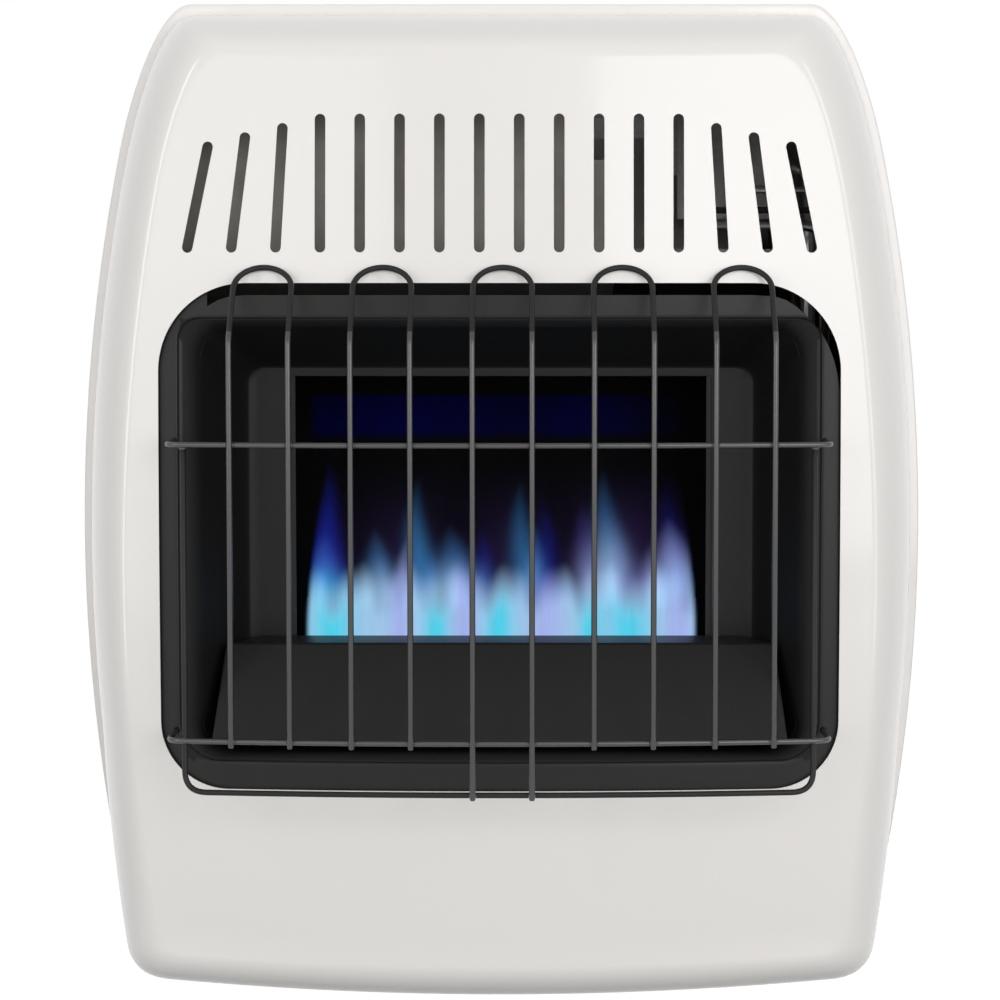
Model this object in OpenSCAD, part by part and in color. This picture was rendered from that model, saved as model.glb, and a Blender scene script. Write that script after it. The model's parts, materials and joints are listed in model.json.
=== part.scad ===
// Wall mounted gas room heater: a bow-fronted cabinet with a wire-guarded
// blue-flame firebox, hung on a wall bracket. Millimetres, +Z up, the room is
// at -Y and the wall is the plane y = 0. The origin is the middle of the line
// of wall screws. Heights named *_h are measured up from the cabinet's foot.

/* [Cabinet] */
// Overall width over the rim, at its widest
body_w = 498; // [470:1:540]
// Overall height
body_h = 570; // [560:1:600]
// Depth of the rear case, wall to rim
case_d = 75; // [70:1:95]
// Depth of the front panel, rim to the crown of its face
panel_d = 125; // [120:1:145]
// Thickness of the sheet metal
sheet = 1.2; // [1:0.1:1.5]
// Width of the flat rim round the front panel
rim_w = 8; // [6:0.5:10]
// How far the rim turns back over the case
rim_return = 12; // [11:0.5:16]
// Radius of the bowed sides, seen from the front
side_r = 1100; // [900:50:1400]
// Radius of the bowed bottom edge, seen from the front
foot_r = 3000; // [2500:100:6000]
// Radius of the face's bow from side to side
bow_side_r = 1300; // [1100:50:2000]
// Radius of the face's bow from top to bottom
bow_rise_r = 2300; // [2000:100:4000]
// Inset from the rim's inner edge to the flat of the face, at the sides
shoulder_w = 35; // [30:1:38]
// Inset from the rim's inner edge to the flat of the face, at the top
shoulder_top = 32; // [26:1:38]
// Radius of the panel's bottom edge
foot_edge = 22; // [16:1:26]
// Height of the rim's foot above the panel's lowest edge
rim_foot = 10; // [6:1:12]
// Distance between the outer screws along the panel's foot
panel_screw_w = 300; // [240:5:320]

/* [Window] */
// Width of the window in the front panel
window_w = 381; // [370:1:384]
// Height of the window's top edge above the foot
window_top_h = 405.3; // [402:0.1:408]
// Height of the window's bottom edge above the foot
window_foot_h = 121.6; // [116:0.1:124]
// Radius of the window's top corners
window_top_r = 49; // [40:1:52]
// Radius of the window's bottom corners
window_foot_r = 38; // [30:1:40]

/* [Vent slots] */
// Width of a slot
slot_w = 6; // [4:0.5:8]
// Length of a straight slot, over its round ends
slot_l = 76.8; // [60:0.1:84]
// Height of the slots' lower ends above the foot
slot_h = 422.1; // [420:0.1:430]
// Number of straight slots
straight_slots = 10; // [8:2:10]
// Distance between straight slots
slot_pitch = 22.1; // [18:0.1:22.4]
// Number of fanned slots on each side
fan_slots = 3; // [1:1:3]
// Distance between the fanned slots' lower ends
fan_pitch = 24.8; // [20:0.1:25]

/* [Surround and firebox] */
// Width of the surround's mouth
mouth_w = 359.4; // [350:0.2:362]
// Height of the mouth's top edge above the foot
mouth_top_h = 385.8; // [382:0.1:388]
// Height of the mouth's bottom edge above the foot
mouth_foot_h = 137.3; // [134:0.1:140]
// Depth of the surround's back rim behind the face's crown
tray_d = 87.8; // [84:0.1:92]
// Draft of the surround's side walls, mouth to back
tray_draft = 36.7; // [34:0.1:38]
// Width of the flat rim at each side of the surround's rear opening
rear_rim_w = 20; // [16:1:22]
// Top of the surround's rear opening above the foot
rear_top_h = 352.3; // [352:0.1:356]
// Width of the firebox opening
fire_w = 239.6; // [220:0.2:242]
// Top of the firebox opening above the foot
fire_top_h = 351.7; // [345:0.1:353]
// Bottom of the firebox opening above the foot
fire_foot_h = 176; // [170:1:185]
// Outer width of the firebox
box_w = 302.4; // [300:0.4:312]
// Height of the firebox roof above the foot
roof_h = 372; // [368:1:380]
// Height of the firebox floor above the foot
floor_h = 150; // [147:1:154]
// Distance from the wall to the firebox reflector
reflector_d = 34; // [28:1:40]

/* [Burner] */
// Outer diameter of the burner tube
burner_d = 26; // [22:1:28]
// Length of the burner tube
burner_l = 250; // [220:2:256]
// Height of the burner's axis above the foot
burner_h = 176; // [172:1:180]
// Distance of the burner's axis from the wall
burner_y = 72; // [66:1:76]
// Number of flame ports along the burner
ports = 30; // [20:1:34]
// Width of a flame port
port_w = 1.6; // [1:0.1:2.2]
// Top of the burner cover above the foot
cover_top_h = 199.9; // [196:0.1:204]
// Bottom of the burner cover above the foot
cover_foot_h = 146.3; // [144:0.1:150]
// Width of the burner cover at its top
cover_top_w = 315; // [300:1:318]
// Width of the burner cover near its bottom
cover_foot_w = 325; // [312:1:326]
// Depth of the burner cover's level top
cover_shelf = 37.8; // [30:0.2:42]
// How much further the cover's foot reaches out
cover_lean = 37; // [25:1:42]

/* [Guard] */
// Diameter of the guard wire
wire_d = 3.2; // [2.6:0.1:3.6]
// Distance between neighbouring hairpins of the guard
hairpin_pitch = 66.2; // [60:0.2:68]
// Width of a hairpin between its legs
hairpin_w = 32.4; // [28:0.2:34]
// Distance of the middle hairpin right of the middle
guard_off = 1.9; // [0:0.1:3]
// Distance of the uprights in front of the face's crown
guard_out = 36; // [32:0.5:42]
// Height above the foot where the uprights lean back
lean_h = 374.3; // [370:0.1:380]
// Height of the arches above the foot
arch_h = 413.8; // [411:0.1:416]
// Height of the upper rail above the foot
upper_rail_h = 317; // [300:0.1:330]
// Height of the lower rail above the foot
lower_rail_h = 154; // [152:0.1:162]
// Distance between the rails' turned-back ends
rail_w = 364; // [362:1:370]
// Width of the frame wire between its legs
frame_w = 346; // [330:1:352]
// Height of the frame wire's bottom run above the foot
frame_foot_h = 125.7; // [124:0.1:132]
// Bend radius of the frame wire
frame_bend_r = 12; // [9:1:20]

/* [Controls] */
// Distance of the knob's axis right of the middle
knob_x = 125; // [120:1:128]
// Distance of the igniter's axis right of the middle
igniter_x = 163; // [160:1:166]
// Distance of both axes from the wall
control_y = 38; // [36:1:40]
// Diameter of the control knob
knob_d = 34; // [28:1:36]
// Height of the control knob
knob_h = 20; // [16:1:22]
// Diameter of the control stem
stem_d = 6; // [5:0.5:8]
// Travel of the knob when it is pushed in
knob_travel = 3.5; // [2.5:0.5:4]
// Diameter of the igniter's button
button_d = 12; // [9:1:13]
// Travel of the igniter's button
button_travel = 6; // [4:0.5:7]
// Depth of the control tray below the case top
tray_sink = 37; // [34:1:40]
// Width of the gas valve
valve_w = 46; // [40:1:50]

/* [Wall fixing and gas inlet] */
// Distance of the wall screws below the cabinet's top
bracket_drop = 70; // [60:1:90]
// Distance between the wall screws, one stud spacing
stud_pitch = 406.4; // [380:0.4:410]
// Diameter of the wall screw holes
wall_hole_d = 6; // [5:0.5:7]
// Thickness of the wall bracket
bracket_t = 2; // [1.5:0.1:3]
// Height of the lower wall screws above the foot
low_screw_h = 60; // [50:1:70]
// Distance between the lower wall screws
low_screw_w = 300; // [240:2:320]
// Distance of the gas inlet right of the middle
inlet_x = 185; // [182:1:190]
// Distance of the gas inlet from the wall
inlet_y = 40; // [36:1:44]
// Radius of the gas inlet's tapped hole
inlet_r = 8; // [7:0.1:9]
// Outer diameter of the supply and burner pipes
pipe_d = 9.5; // [8:0.1:10]
// Outer diameter of the pilot pipe
pilot_pipe_d = 4.8; // [4:0.1:6]
// Outer diameter of the leads
lead_d = 4; // [3:0.1:5]

/* [Hidden] */
bracket_h = body_h - bracket_drop;
gap = 0.3;           // clearance between pieces that only lie near each other
fit = 0.05;          // radial clearance of a running fit
screw_r = 2;         // sheet metal screw
screw_hole_r = screw_r + 0.15;
head_r = 3.8;
head_h = 2.2;
flat = 48;           // facets of a plain round
curve_n = 8;         // steps of a corner curve
rim_y = -case_d;
crown_y = rim_y - panel_d;
tray_y = crown_y + tray_d;              // front of the surround's back rim
plate_y = tray_y + sheet;               // front of the firebox plate
plate_back_y = plate_y + sheet;
back_y = -bracket_t - sheet;            // front of the case back
reflector_y = -reflector_d;
guard_y = crown_y - guard_out;          // axis plane of the uprights
rail_y = guard_y + wire_d + 0.1;        // axis plane of the rails
frame_y = rail_y + wire_d + 0.1;        // axis plane of the frame wire's legs
bow_h = body_h * 0.456;                 // height of the face's crown
wide_h = body_h * 0.4544;               // height of the widest place
case_gap = sheet + 0.3;                 // rim's outside to case's outside
box_x = box_w / 2;
knob_axis_y = -control_y;
tray_floor_h = body_h - case_gap - sheet - tray_sink;
stem_foot_h = tray_floor_h - 32;
valve_top_h = tray_floor_h - 12;
valve_l = 48;
valve_deep = 36;
plunger_l = 16;
bonnet_r = 10;
knob_foot_h = tray_floor_h + sheet + knob_travel + 0.8;
igniter_r = 9;
igniter_l = 46;
nut_r = 13;
inlet_h = 24;
regulator_l = 62;
regulator_r = 21;

// ---- plain helpers ----

module from_foot() translate([0, 0, -bracket_h]) children();

module block(x, y, z)
  translate([x[0], y[0], z[0]])
    cube([x[1] - x[0], y[1] - y[0], z[1] - z[0]]);

// a flat shape in (x, height), given depth between two planes of y
module facing(y0, y1)
  translate([0, y1, 0]) rotate([90, 0, 0]) linear_extrude(y1 - y0) children();

// a flat shape in (y, height), given width between two planes of x
module across(x0, x1)
  translate([x0, 0, 0]) rotate([90, 0, 90]) linear_extrude(x1 - x0) children();

module upright(x, y, z0, z1, r, n = flat)
  translate([x, y, z0]) cylinder(h = z1 - z0, r = r, $fn = n);

// a round bar along y, and one along x
module bar_y(x, z, y0, y1, r, n = flat)
  translate([x, y1, z]) rotate([90, 0, 0]) cylinder(h = y1 - y0, r = r, $fn = n);

module bar_x(y, z, x0, x1, r, n = flat)
  translate([x0, y, z]) rotate([0, 90, 0]) cylinder(h = x1 - x0, r = r, $fn = n);

function lerp(a, b, t) = a + (b - a) * t;
function unit(v) = v / norm(v);
function bezier(p, n) = [for (i = [0:n]) let (t = i / n, s = 1 - t)
  s*s*s * p[0] + 3*s*s*t * p[1] + 3*s*t*t * p[2] + t*t*t * p[3]];
function arc(cx, cy, r, a0, a1, n) = [for (i = [0:n]) let (a = lerp(a0, a1, i / n))
  [cx + r * cos(a), cy + r * sin(a)]];
function between(p, q, n) = [for (i = [1:n - 1]) lerp(p, q, i / n)];
function back_to_front(list) = [for (i = [len(list) - 1:-1:0]) list[i]];

// rings of equal length become one closed skin; looped rings need no ends
module skin(rings, looped = false) {
  n = len(rings[0]);
  m = len(rings);
  last = looped ? m - 1 : m - 2;
  sides = [for (i = [0:last], j = [0:n - 1])
    let (a = i * n + j, b = i * n + (j + 1) % n,
         c = ((i + 1) % m) * n + (j + 1) % n, d = ((i + 1) % m) * n + j)
    each [[a, d, c], [a, c, b]]];
  ends = looped ? [] : [[for (j = [0:n - 1]) j], [for (j = [n - 1:-1:0]) (m - 1) * n + j]];
  polyhedron(points = [for (r = rings) each r], faces = concat(sides, ends), convexity = 8);
}

// wire, pipe or lead swept along a route of points
function heading(p, i) = unit(p[min(i + 1, len(p) - 1)] - p[max(i - 1, 0)]);
function normals(p, i = 0, last = [0, 0, 0], done = []) =
  i == len(p) ? done :
  let (t = heading(p, i),
       side = i == 0 ? cross(t, abs(t[2]) < 0.9 ? [0, 0, 1] : [1, 0, 0]) : last - (last * t) * t,
       n = unit(side))
  normals(p, i + 1, n, concat(done, [n]));
module sweep(route, r, n = 10) {
  side = normals(route);
  skin([for (i = [0:len(route) - 1]) let (t = heading(route, i), b = cross(t, side[i]))
    [for (j = [0:n - 1]) let (a = 360 * j / n)
      route[i] + r * (cos(a) * side[i] + sin(a) * b)]]);
}
// a route whose inner corners are rounded
function rounded(p, r, n = 4) = [for (i = [0:len(p) - 1])
  each (i == 0 || i == len(p) - 1) ? [p[i]] :
    let (a = unit(p[i - 1] - p[i]), b = unit(p[i + 1] - p[i]))
    [for (k = [0:n]) let (t = k / n, s = 1 - t)
      s*s * (p[i] + r * a) + 2*s*t * p[i] + t*t * (p[i] + r * b)]];

// ---- outlines of the cabinet, right half from the foot up, then mirrored ----

function side_x(half, mid, r, h) = half - pow(h - mid, 2) / (2 * r);
function half_line(half, mid, r, top, top_x, foot, corner) =
  let (h1 = top - 85, h2 = foot + corner,
       x1 = side_x(half, mid, r, h1), x2 = side_x(half, mid, r, h2),
       foot_x = x2 - corner, up = [-(h1 - mid) / r, 1], low = [(mid - h2) / r, 1],
       foot_z = foot + pow(foot_x, 2) / (2 * foot_r))
  concat(
    [for (i = [0:4]) let (x = foot_x * i / 5) [x, foot + x * x / (2 * foot_r)]],
    bezier([[foot_x, foot_z], [foot_x + corner * 0.55, foot_z + 1],
            [x2, h2] - low * corner * 0.5, [x2, h2]], 6),
    [for (i = [1:13]) let (h = lerp(h2, h1, i / 14)) [side_x(half, mid, r, h), h]],
    bezier([[x1, h1], [x1, h1] + 42 * up, [top_x + 16.3, top], [top_x, top]], curve_n),
    [for (i = [1:3]) [top_x * (1 - i / 4), top]]);
function both_sides(line) = concat(line, [[0, line[len(line) - 1][1]]],
  [for (i = [len(line) - 1:-1:1]) [-line[i][0], line[i][1]]]);
function cabinet_line(half, mid, r, top, top_x, foot, corner) =
  both_sides(half_line(half, mid, r, top, top_x, foot, corner));

// outer edge of the rim, inset by d
function rim_line(d = 0) = cabinet_line(body_w / 2 - d, wide_h, side_r,
  body_h - d, body_w / 2 - 65.5 - d / 2, rim_foot + d, 20);
// the panel's walls at the rim, and where they start to round into the face
function wall_line(d = 0, foot = rim_foot + 0.8, corner = 22) =
  cabinet_line(body_w / 2 - rim_w - d, wide_h, side_r,
    body_h - rim_w - d, body_w / 2 - 69 - d / 2, foot + d, corner);
function front_line(d = 0) = wall_line(d, 0, 26);
// edge of the face
function face_line(d = 0) = cabinet_line(body_w / 2 - rim_w - shoulder_w - d, wide_h - 27,
  side_r + 135, body_h - rim_w - shoulder_top - d, body_w / 2 - 99 - d / 2, foot_edge + d, 14);

function face_y(x, h) = crown_y + x * x / (2 * bow_side_r)
  + pow(h - bow_h, 2) / (2 * bow_rise_r);

function set_y(line, y) = [for (p = line) [p[0], y, p[1]]];

// ---- front panel and surround ----

fan_draw = 3.8;      // how much closer the fanned slots' tops stand
fan_drop = 5;        // how much lower each fanned slot's top is than its neighbour's
tight = 0.8;         // how far the bottom edge runs straight before it rounds

// the panel's skin, moved in by d: rim, walls, shoulder and bowed face
function panel_rings(d) =
  let (rim = rim_line(d), wall = wall_line(d), front = front_line(d), face = face_line(d), y0 = rim_y + d,
       n = len(rim), mid = [0, bow_h])
  concat(
    [set_y(rim, rim_y + rim_return + (d > 0 ? 1 : 0)), set_y(rim, y0 + 2.5)],
    [for (s = [[0.12, 0.7], [0.35, 0], [1, 0]])
      [for (i = [0:n - 1]) let (p = lerp(rim[i], wall[i], s[0])) [p[0], y0 + s[1], p[1]]]],
    [for (a = [5, 15, 26, 37, 48, 59, 70, 80, 90])
      [for (i = [0:n - 1])
        let (k = tight * max(0, 1 - front[i][1] / 150),
             p = lerp(front[i], face[i], 1 - cos(a)),
             y = lerp(y0, face_y(face[i][0], face[i][1]) + d, k + (1 - k) * sin(a)))
        [p[0], y, p[1]]]],
    [for (s = [0.86, 0.7, 0.5, 0.25, 0.04])
      [for (i = [0:n - 1]) let (p = lerp(mid, face[i], s)) [p[0], face_y(p[0], p[1]) + d, p[1]]]]);

// a rectangle with two pairs of round corners, in (x, height)
function round_box(half, top, foot, top_r, foot_r) = let (
    a = arc(half - foot_r, foot + foot_r, foot_r, -90, 0, curve_n),
    b = arc(half - top_r, top - top_r, top_r, 0, 90, curve_n),
    c = arc(top_r - half, top - top_r, top_r, 90, 180, curve_n),
    e = arc(foot_r - half, foot + foot_r, foot_r, 180, 270, curve_n))
  concat(a, between(a[curve_n], b[0], 6), b, between(b[curve_n], c[0], 10),
         c, between(c[curve_n], e[0], 6), e, between(e[curve_n], a[0], 10));

function window_line(d = 0) = round_box(window_w / 2 + d, window_top_h + d,
  window_foot_h - d, window_top_r + d, window_foot_r + d);

module slot_shape(a, b) {
  lean = atan2(a[0] - b[0], b[1] - a[1]);
  l = norm(b - a);
  translate(a) rotate(lean) {
    circle(d = slot_w, $fn = 16);
    translate([-slot_w / 2, 0]) square([slot_w, l]);
    translate([0, l]) circle(d = slot_w, $fn = 16);
  }
}

module vent_slots() {
  foot = slot_h + slot_w / 2;
  top = slot_h + slot_l - slot_w / 2;
  edge = (straight_slots - 1) / 2 * slot_pitch;
  for (i = [0:straight_slots - 1])
    slot_shape([i * slot_pitch - edge, foot], [i * slot_pitch - edge, top]);
  for (side = [-1, 1], j = [1:fan_slots])
    slot_shape([side * (edge + j * fan_pitch), foot],
               [side * (edge + j * (fan_pitch - fan_draw)), top - j * fan_drop]);
}

// screws up through the rim's return and the case, along the bowed foot
module at_panel_screws()
  for (side = [-1, 1], x = [panel_screw_w / 6, panel_screw_w / 2])
    translate([side * x, rim_y + rim_return * 0.625, rim_foot + x * x / (2 * foot_r)])
      rotate([0, side * (180 - atan(x / foot_r)), 0]) children();

module front_panel() color("whitesmoke") difference() {
  skin(panel_rings(0));
  skin(panel_rings(sheet));
  facing(crown_y - 10, crown_y + 60) polygon(window_line());
  facing(crown_y - 10, crown_y + 60) vent_slots();
  at_panel_screws() cylinder(h = 20, r = screw_hole_r, center = true, $fn = 16);
}

// one cross-section of the surround; it follows the face or lies in a plane
function tray_ring(half, top, foot, top_r, foot_r, y, follow) =
  [for (p = round_box(half, top, foot, top_r, foot_r))
    [p[0], follow ? face_y(p[0], p[1]) + y : y, p[1]]];
seat = sheet + 2;    // surround's flange behind the face
flange_w = 8;        // surround's flange behind the window's edge
mouth = mouth_w / 2;
mouth_top_r = 12;
mouth_foot_r = 22;
roll = 11.7;         // how far the mouth's edge rolls in
rear_half = mouth - tray_draft;
rear_x = rear_half - rear_rim_w;
air_gap_w = 331;
tray_front = [
  [window_w / 2 + flange_w, window_top_h + flange_w, window_foot_h - flange_w,
   window_top_r + flange_w, window_foot_r + flange_w, seat, true],
  [mouth + 1, mouth_top_h + 1, mouth_foot_h - 1, mouth_top_r + 1, mouth_foot_r + 1, seat, true],
  [mouth, mouth_top_h, mouth_foot_h, mouth_top_r, mouth_foot_r, seat + 1.2, true],
  [mouth - roll * 0.4, mouth_top_h - 2, mouth_foot_h + 1.6, mouth_top_r + 4, 20, seat + 4, true],
  [mouth - roll * 0.8, mouth_top_h - 4, mouth_foot_h + 3, mouth_top_r + 6, 18, seat + 10, true],
  [mouth - roll, mouth_top_h - 5.1, mouth_foot_h + 3.7, mouth_top_r + 5, 17, crown_y + 32, false],
  [rear_half + 7.5, rear_top_h + 8.2, cover_foot_h - 2.8, 13, 9, tray_y - 5.8, false],
  [rear_half + 5, rear_top_h + 6, cover_foot_h - 1.7, 11, 7, tray_y - 1.8, false],
  [rear_half + 2, rear_top_h + 4.2, cover_foot_h - 0.4, 9, 5, tray_y, false],
  [rear_x, rear_top_h, cover_foot_h + 12, 2, 2, tray_y, false]];

module surround() color("dimgray") {
  n = len(tray_front);
  back = [for (i = [n - 1:-1:0]) let (s = tray_front[i], g = (i == 0 || i == n - 1) ? 0 : sheet)
    tray_ring(s[0] + g, s[1] + g, s[2] - g, s[3] + g, s[4] + g, s[5] + sheet, s[6])];
  front = [for (s = tray_front) tray_ring(s[0], s[1], s[2], s[3], s[4], s[5], s[6])];
  difference() {
    skin(concat(back, front), looped = true);
    // the flange stops short of the window's top edge and leaves an air gap
    block([-air_gap_w / 2, air_gap_w / 2], [crown_y - 5, crown_y + 40],
          [window_top_h - 6.7, window_top_h + 30]);
    for (side = [-1, 1], h = [upper_rail_h, lower_rail_h])
      bar_y(side * rail_w / 2, h, crown_y - 5, crown_y + 40, wire_d / 2 + gap, 16);
    at_surround_screws() cylinder(h = 30, r = screw_hole_r, center = true, $fn = 16);
  }
}

// behind the burner cover, where they don't show
module at_surround_screws()
  for (side = [-1, 1], h = [cover_foot_h + 20, cover_top_h - 14])
    translate([side * (rear_x + 12), tray_y, h]) rotate([90, 0, 0]) children();

module pan_screw(l) {
  cylinder(h = head_h, r = head_r, $fn = flat);
  translate([0, 0, -l]) cylinder(h = l, r = screw_r, $fn = flat);
}
module panel_screws() color("lightgray") at_panel_screws() pan_screw(8);
module surround_screws() color("dimgray") at_surround_screws() pan_screw(8);

// ---- rear case and wall fixing ----

case_front_y = rim_y + sheet + 2.6;
case_top_h = body_h - case_gap;
foot_split_h = 40;
hook_x = 70;
hook_w = 40;
hook_h = bracket_h + 10;

module case_band(y0, y1, depth) facing(y0, y1) difference() {
  polygon(rim_line(case_gap));
  polygon(rim_line(case_gap + depth));
}
module case_shell() difference() {
  union() {
    case_band(case_front_y, back_y, sheet);
    case_band(case_front_y, case_front_y + sheet, 12);
  }
  at_panel_screws() cylinder(h = 30, r = screw_hole_r, center = true, $fn = 16);
}

module case_wrap() color("gainsboro") difference() {
  case_shell();
  block([-300, 300], [-90, 10], [-10, foot_split_h]);
  // louvres for warm air, left of the controls
  for (i = [0:15]) block([i * 16 - 168, i * 16 - 162], [-56, -14], [case_top_h - 5, case_top_h + 5]);
  block(tray_in_x, tray_in_y, [case_top_h - 5, case_top_h + 5]);
}

module case_foot() color("gainsboro") difference() {
  intersection() {
    case_shell();
    block([-300, 300], [-90, 10], [-10, foot_split_h]);
  }
  // air inlets and the hole below the gas inlet
  for (i = [0:17]) block([i * 18 - 176, i * 18 - 168], [-58, -14], [-5, 24]);
  upright(inlet_x, -inlet_y, -5, 26, 20);
}

module case_back() color("gainsboro") difference() {
  facing(back_y, -bracket_t) polygon(rim_line(case_gap));
  for (side = [-1, 1]) {
    block([side * hook_x - hook_w / 2 - 2, side * hook_x + hook_w / 2 + 2], [-9, 1], [hook_h - 15, hook_h]);
    bar_y(side * stud_pitch / 2, bracket_h, -9, 1, 7);
    bar_y(side * low_screw_w / 2, low_screw_h, -9, 1, wall_hole_d / 2);
  }
}

module wall_bracket() color("silver") {
  difference() {
    block([-stud_pitch / 2 - 13, stud_pitch / 2 + 13], [-bracket_t, 0], [bracket_h - 20, bracket_h + 20]);
    for (side = [-1, 1]) bar_y(side * stud_pitch / 2, bracket_h, -9, 1, wall_hole_d / 2);
  }
  for (side = [-1, 1]) translate([side * hook_x, 0, 0])
    across(-hook_w / 2, hook_w / 2)
      polygon([[-bracket_t, hook_h - 2], [-bracket_t, hook_h], [back_y - gap, hook_h],
               [back_y - gap, hook_h + 9], [back_y - gap - 2, hook_h + 9], [back_y - gap - 2, hook_h - 2]]);
}

module wall_spacers() color("silver") for (side = [-1, 1]) difference() {
  bar_y(side * low_screw_w / 2, low_screw_h, -bracket_t, 0, 10);
  bar_y(side * low_screw_w / 2, low_screw_h, -bracket_t - 1, 1, wall_hole_d / 2);
}

// ---- firebox ----

module firebox_plate() color("dimgray") difference() {
  block([-172, 172], [plate_y, plate_back_y], [126, roof_h]);
  block([-fire_w / 2, fire_w / 2], [plate_y - 1, plate_back_y + 1], [fire_foot_h, fire_top_h]);
  at_surround_screws() cylinder(h = 30, r = screw_hole_r, center = true, $fn = flat);
}

module firebox_side(side) difference() {
  union() {
    block(side > 0 ? [box_x - sheet, box_x] : [-box_x, sheet - box_x], [plate_back_y, back_y], [130, roof_h]);
    block(side > 0 ? [box_x - 1, box_x + 11] : [-box_x - 11, 1 - box_x],
          [back_y - sheet, back_y], [130, roof_h]);
  }
  if (side > 0) {
    bar_x(-burner_y, burner_h, box_x - 5, box_x + 5, 8.3);
    block([box_x - 5, box_x + 5], [lead_y - 7, lead_y + 7], [floor_h + sheet, 173]);
  }
}
module firebox_side_left() color("gray") firebox_side(-1);
module firebox_side_right() color("gray") firebox_side(1);

inner_x = box_x - sheet;
module firebox_floor() color("gray") difference() {
  block([-inner_x, inner_x], [plate_back_y, reflector_y + sheet], [floor_h, floor_h + sheet]);
  for (i = [0:9]) block([i * 28 - 132, i * 28 - 124], [-82, -62], [floor_h - 1, floor_h + 3]);
}
module firebox_back() color("silver")
  block([-inner_x, inner_x], [reflector_y, reflector_y + sheet], [floor_h + sheet, roof_h]);
module firebox_roof() color("gray") difference() {
  block([-box_x, box_x], [plate_y, back_y], [roof_h, roof_h + sheet]);
  block([-120, 120], [-100, -52], [roof_h - 1, roof_h + 3]);
}
deflector_low_h = slot_h - 11;
deflector_top_h = slot_h + slot_l + 7;
// its right end is cut down beside the gas valve
module heat_deflector() color("gray") difference() {
  across(-182, knob_x - 60)
    polygon([[-48, roof_h + sheet], [-49.5, roof_h + 2 * sheet], [-147, deflector_low_h],
             [-151, deflector_top_h], [-160, deflector_top_h + 7], [-159, deflector_top_h + 8],
             [-149.8, deflector_top_h + 1], [-145.8, deflector_low_h + 1],
             [-47, roof_h + sheet + 1.5], [-30, roof_h + 2 * sheet], [-30, roof_h + sheet]]);
  block([knob_x - 84, knob_x - 59], [-165, -140], [slot_h + 53, deflector_top_h + 10]);
}
module valve_shield() color("gray") let (h = valve_foot_h - 46) across(knob_x - 65, knob_x + 33)
  polygon([[back_y, h], [back_y, h + 16], [back_y - sheet, h + 16], [back_y - sheet, h + sheet],
           [-102, h + sheet], [-102, h - 8], [-102 + sheet, h - 8], [-102 + sheet, h]]);

cover_y = tray_y - cover_shelf;
module burner_cover() color("dimgray") difference() {
  cover_form(0);
  cover_form(sheet);
}
cover_back = rear_half - 2;
// a box with a sloping front and sides drawn in towards its open back, moved in by d
module cover_form(d) intersection() {
  translate([0, 0, cover_foot_h - 1]) linear_extrude(cover_top_h - cover_foot_h + 2)
    let (b = cover_back - d, f = cover_top_w / 2 - d, g = cover_foot_w / 2 + 1 - d)
      polygon([[-b, tray_y + 5], [-b, tray_y], [-f, cover_y], [-g, cover_y - cover_lean],
               [-g, cover_y - 60], [g, cover_y - 60], [g, cover_y - cover_lean], [f, cover_y],
               [b, tray_y], [b, tray_y + 5]]);
  across(-200, 200) polygon([
    [tray_y + (d > 0 ? 1 : 0), cover_top_h - d], [cover_y + 2 + d * 0.4, cover_top_h - d],
    [cover_y + d * 1.2, cover_top_h - 2 - d * 0.6], [cover_y - cover_lean + d * 1.4, cover_foot_h + 3.7],
    [cover_y - cover_lean + 1.5 + d, cover_foot_h + d], [tray_y + (d > 0 ? 1 : 0), cover_foot_h + d]]);
  facing(cover_y - 60, tray_y + 5) let (a = cover_foot_w / 2 - d, b = cover_top_w / 2 - d)
    polygon(concat(arc(a - 8, cover_foot_h + 8 + d, 8, -90, 0, 6),
      [[b, cover_top_h + 1], [-b, cover_top_h + 1]], arc(8 - a, cover_foot_h + 8 + d, 8, 180, 270, 6)));
}

burner_x = burner_l / 2;
module burner_tube() color("silver") difference() {
  bar_x(-burner_y, burner_h, -burner_x, burner_x, burner_d / 2);
  bar_x(-burner_y, burner_h, sheet - burner_x, burner_x - sheet, burner_d / 2 - sheet);
  bar_x(-burner_y, burner_h, burner_x - 5, burner_x + 5, mixer_r);
  for (i = [0:ports - 1]) let (x = (i - (ports - 1) / 2) * (burner_l - 18) / ports)
    block([x - port_w / 2, x + port_w / 2], [-burner_y - 6, -burner_y + 6], [burner_h + 8, burner_h + 20]);
}
mixer_r = 8;
module mixer_tube() color("silver") difference() {
  union() {
    bar_x(-burner_y, burner_h, burner_x - sheet, burner_x + 42, mixer_r);
    bar_x(-burner_y, burner_h, burner_x + 42, burner_x + 46, mixer_r + 2);
  }
  bar_x(-burner_y, burner_h, burner_x - 5, burner_x + 50, mixer_r - sheet);
  for (s = [-1, 1]) block([burner_x + 31, burner_x + 39], [-burner_y - 3, -burner_y + 3],
                          s > 0 ? [burner_h + 2, burner_h + 12] : [burner_h - 12, burner_h - 2]);
}
module burner_supports() color("gray") for (side = [-1, 1]) difference() {
  block([side * (burner_x - 6) - sheet / 2, side * (burner_x - 6) + sheet / 2],
        [-burner_y - 17, -burner_y + 17], [floor_h + sheet, burner_h + 16]);
  bar_x(-burner_y, burner_h, side * (burner_x - 6) - 3, side * (burner_x - 6) + 3, burner_d / 2 + 0.15);
}
jet_x = burner_x + 52;
module orifice() color("goldenrod") difference() {
  union() {
    bar_x(-burner_y, burner_h, jet_x, jet_x + 3, 3);
    bar_x(-burner_y, burner_h, jet_x + 3, jet_x + 8, 5, 6);
  }
  bar_x(-burner_y, burner_h, jet_x - 1, jet_x + 9, 1);
}
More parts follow.
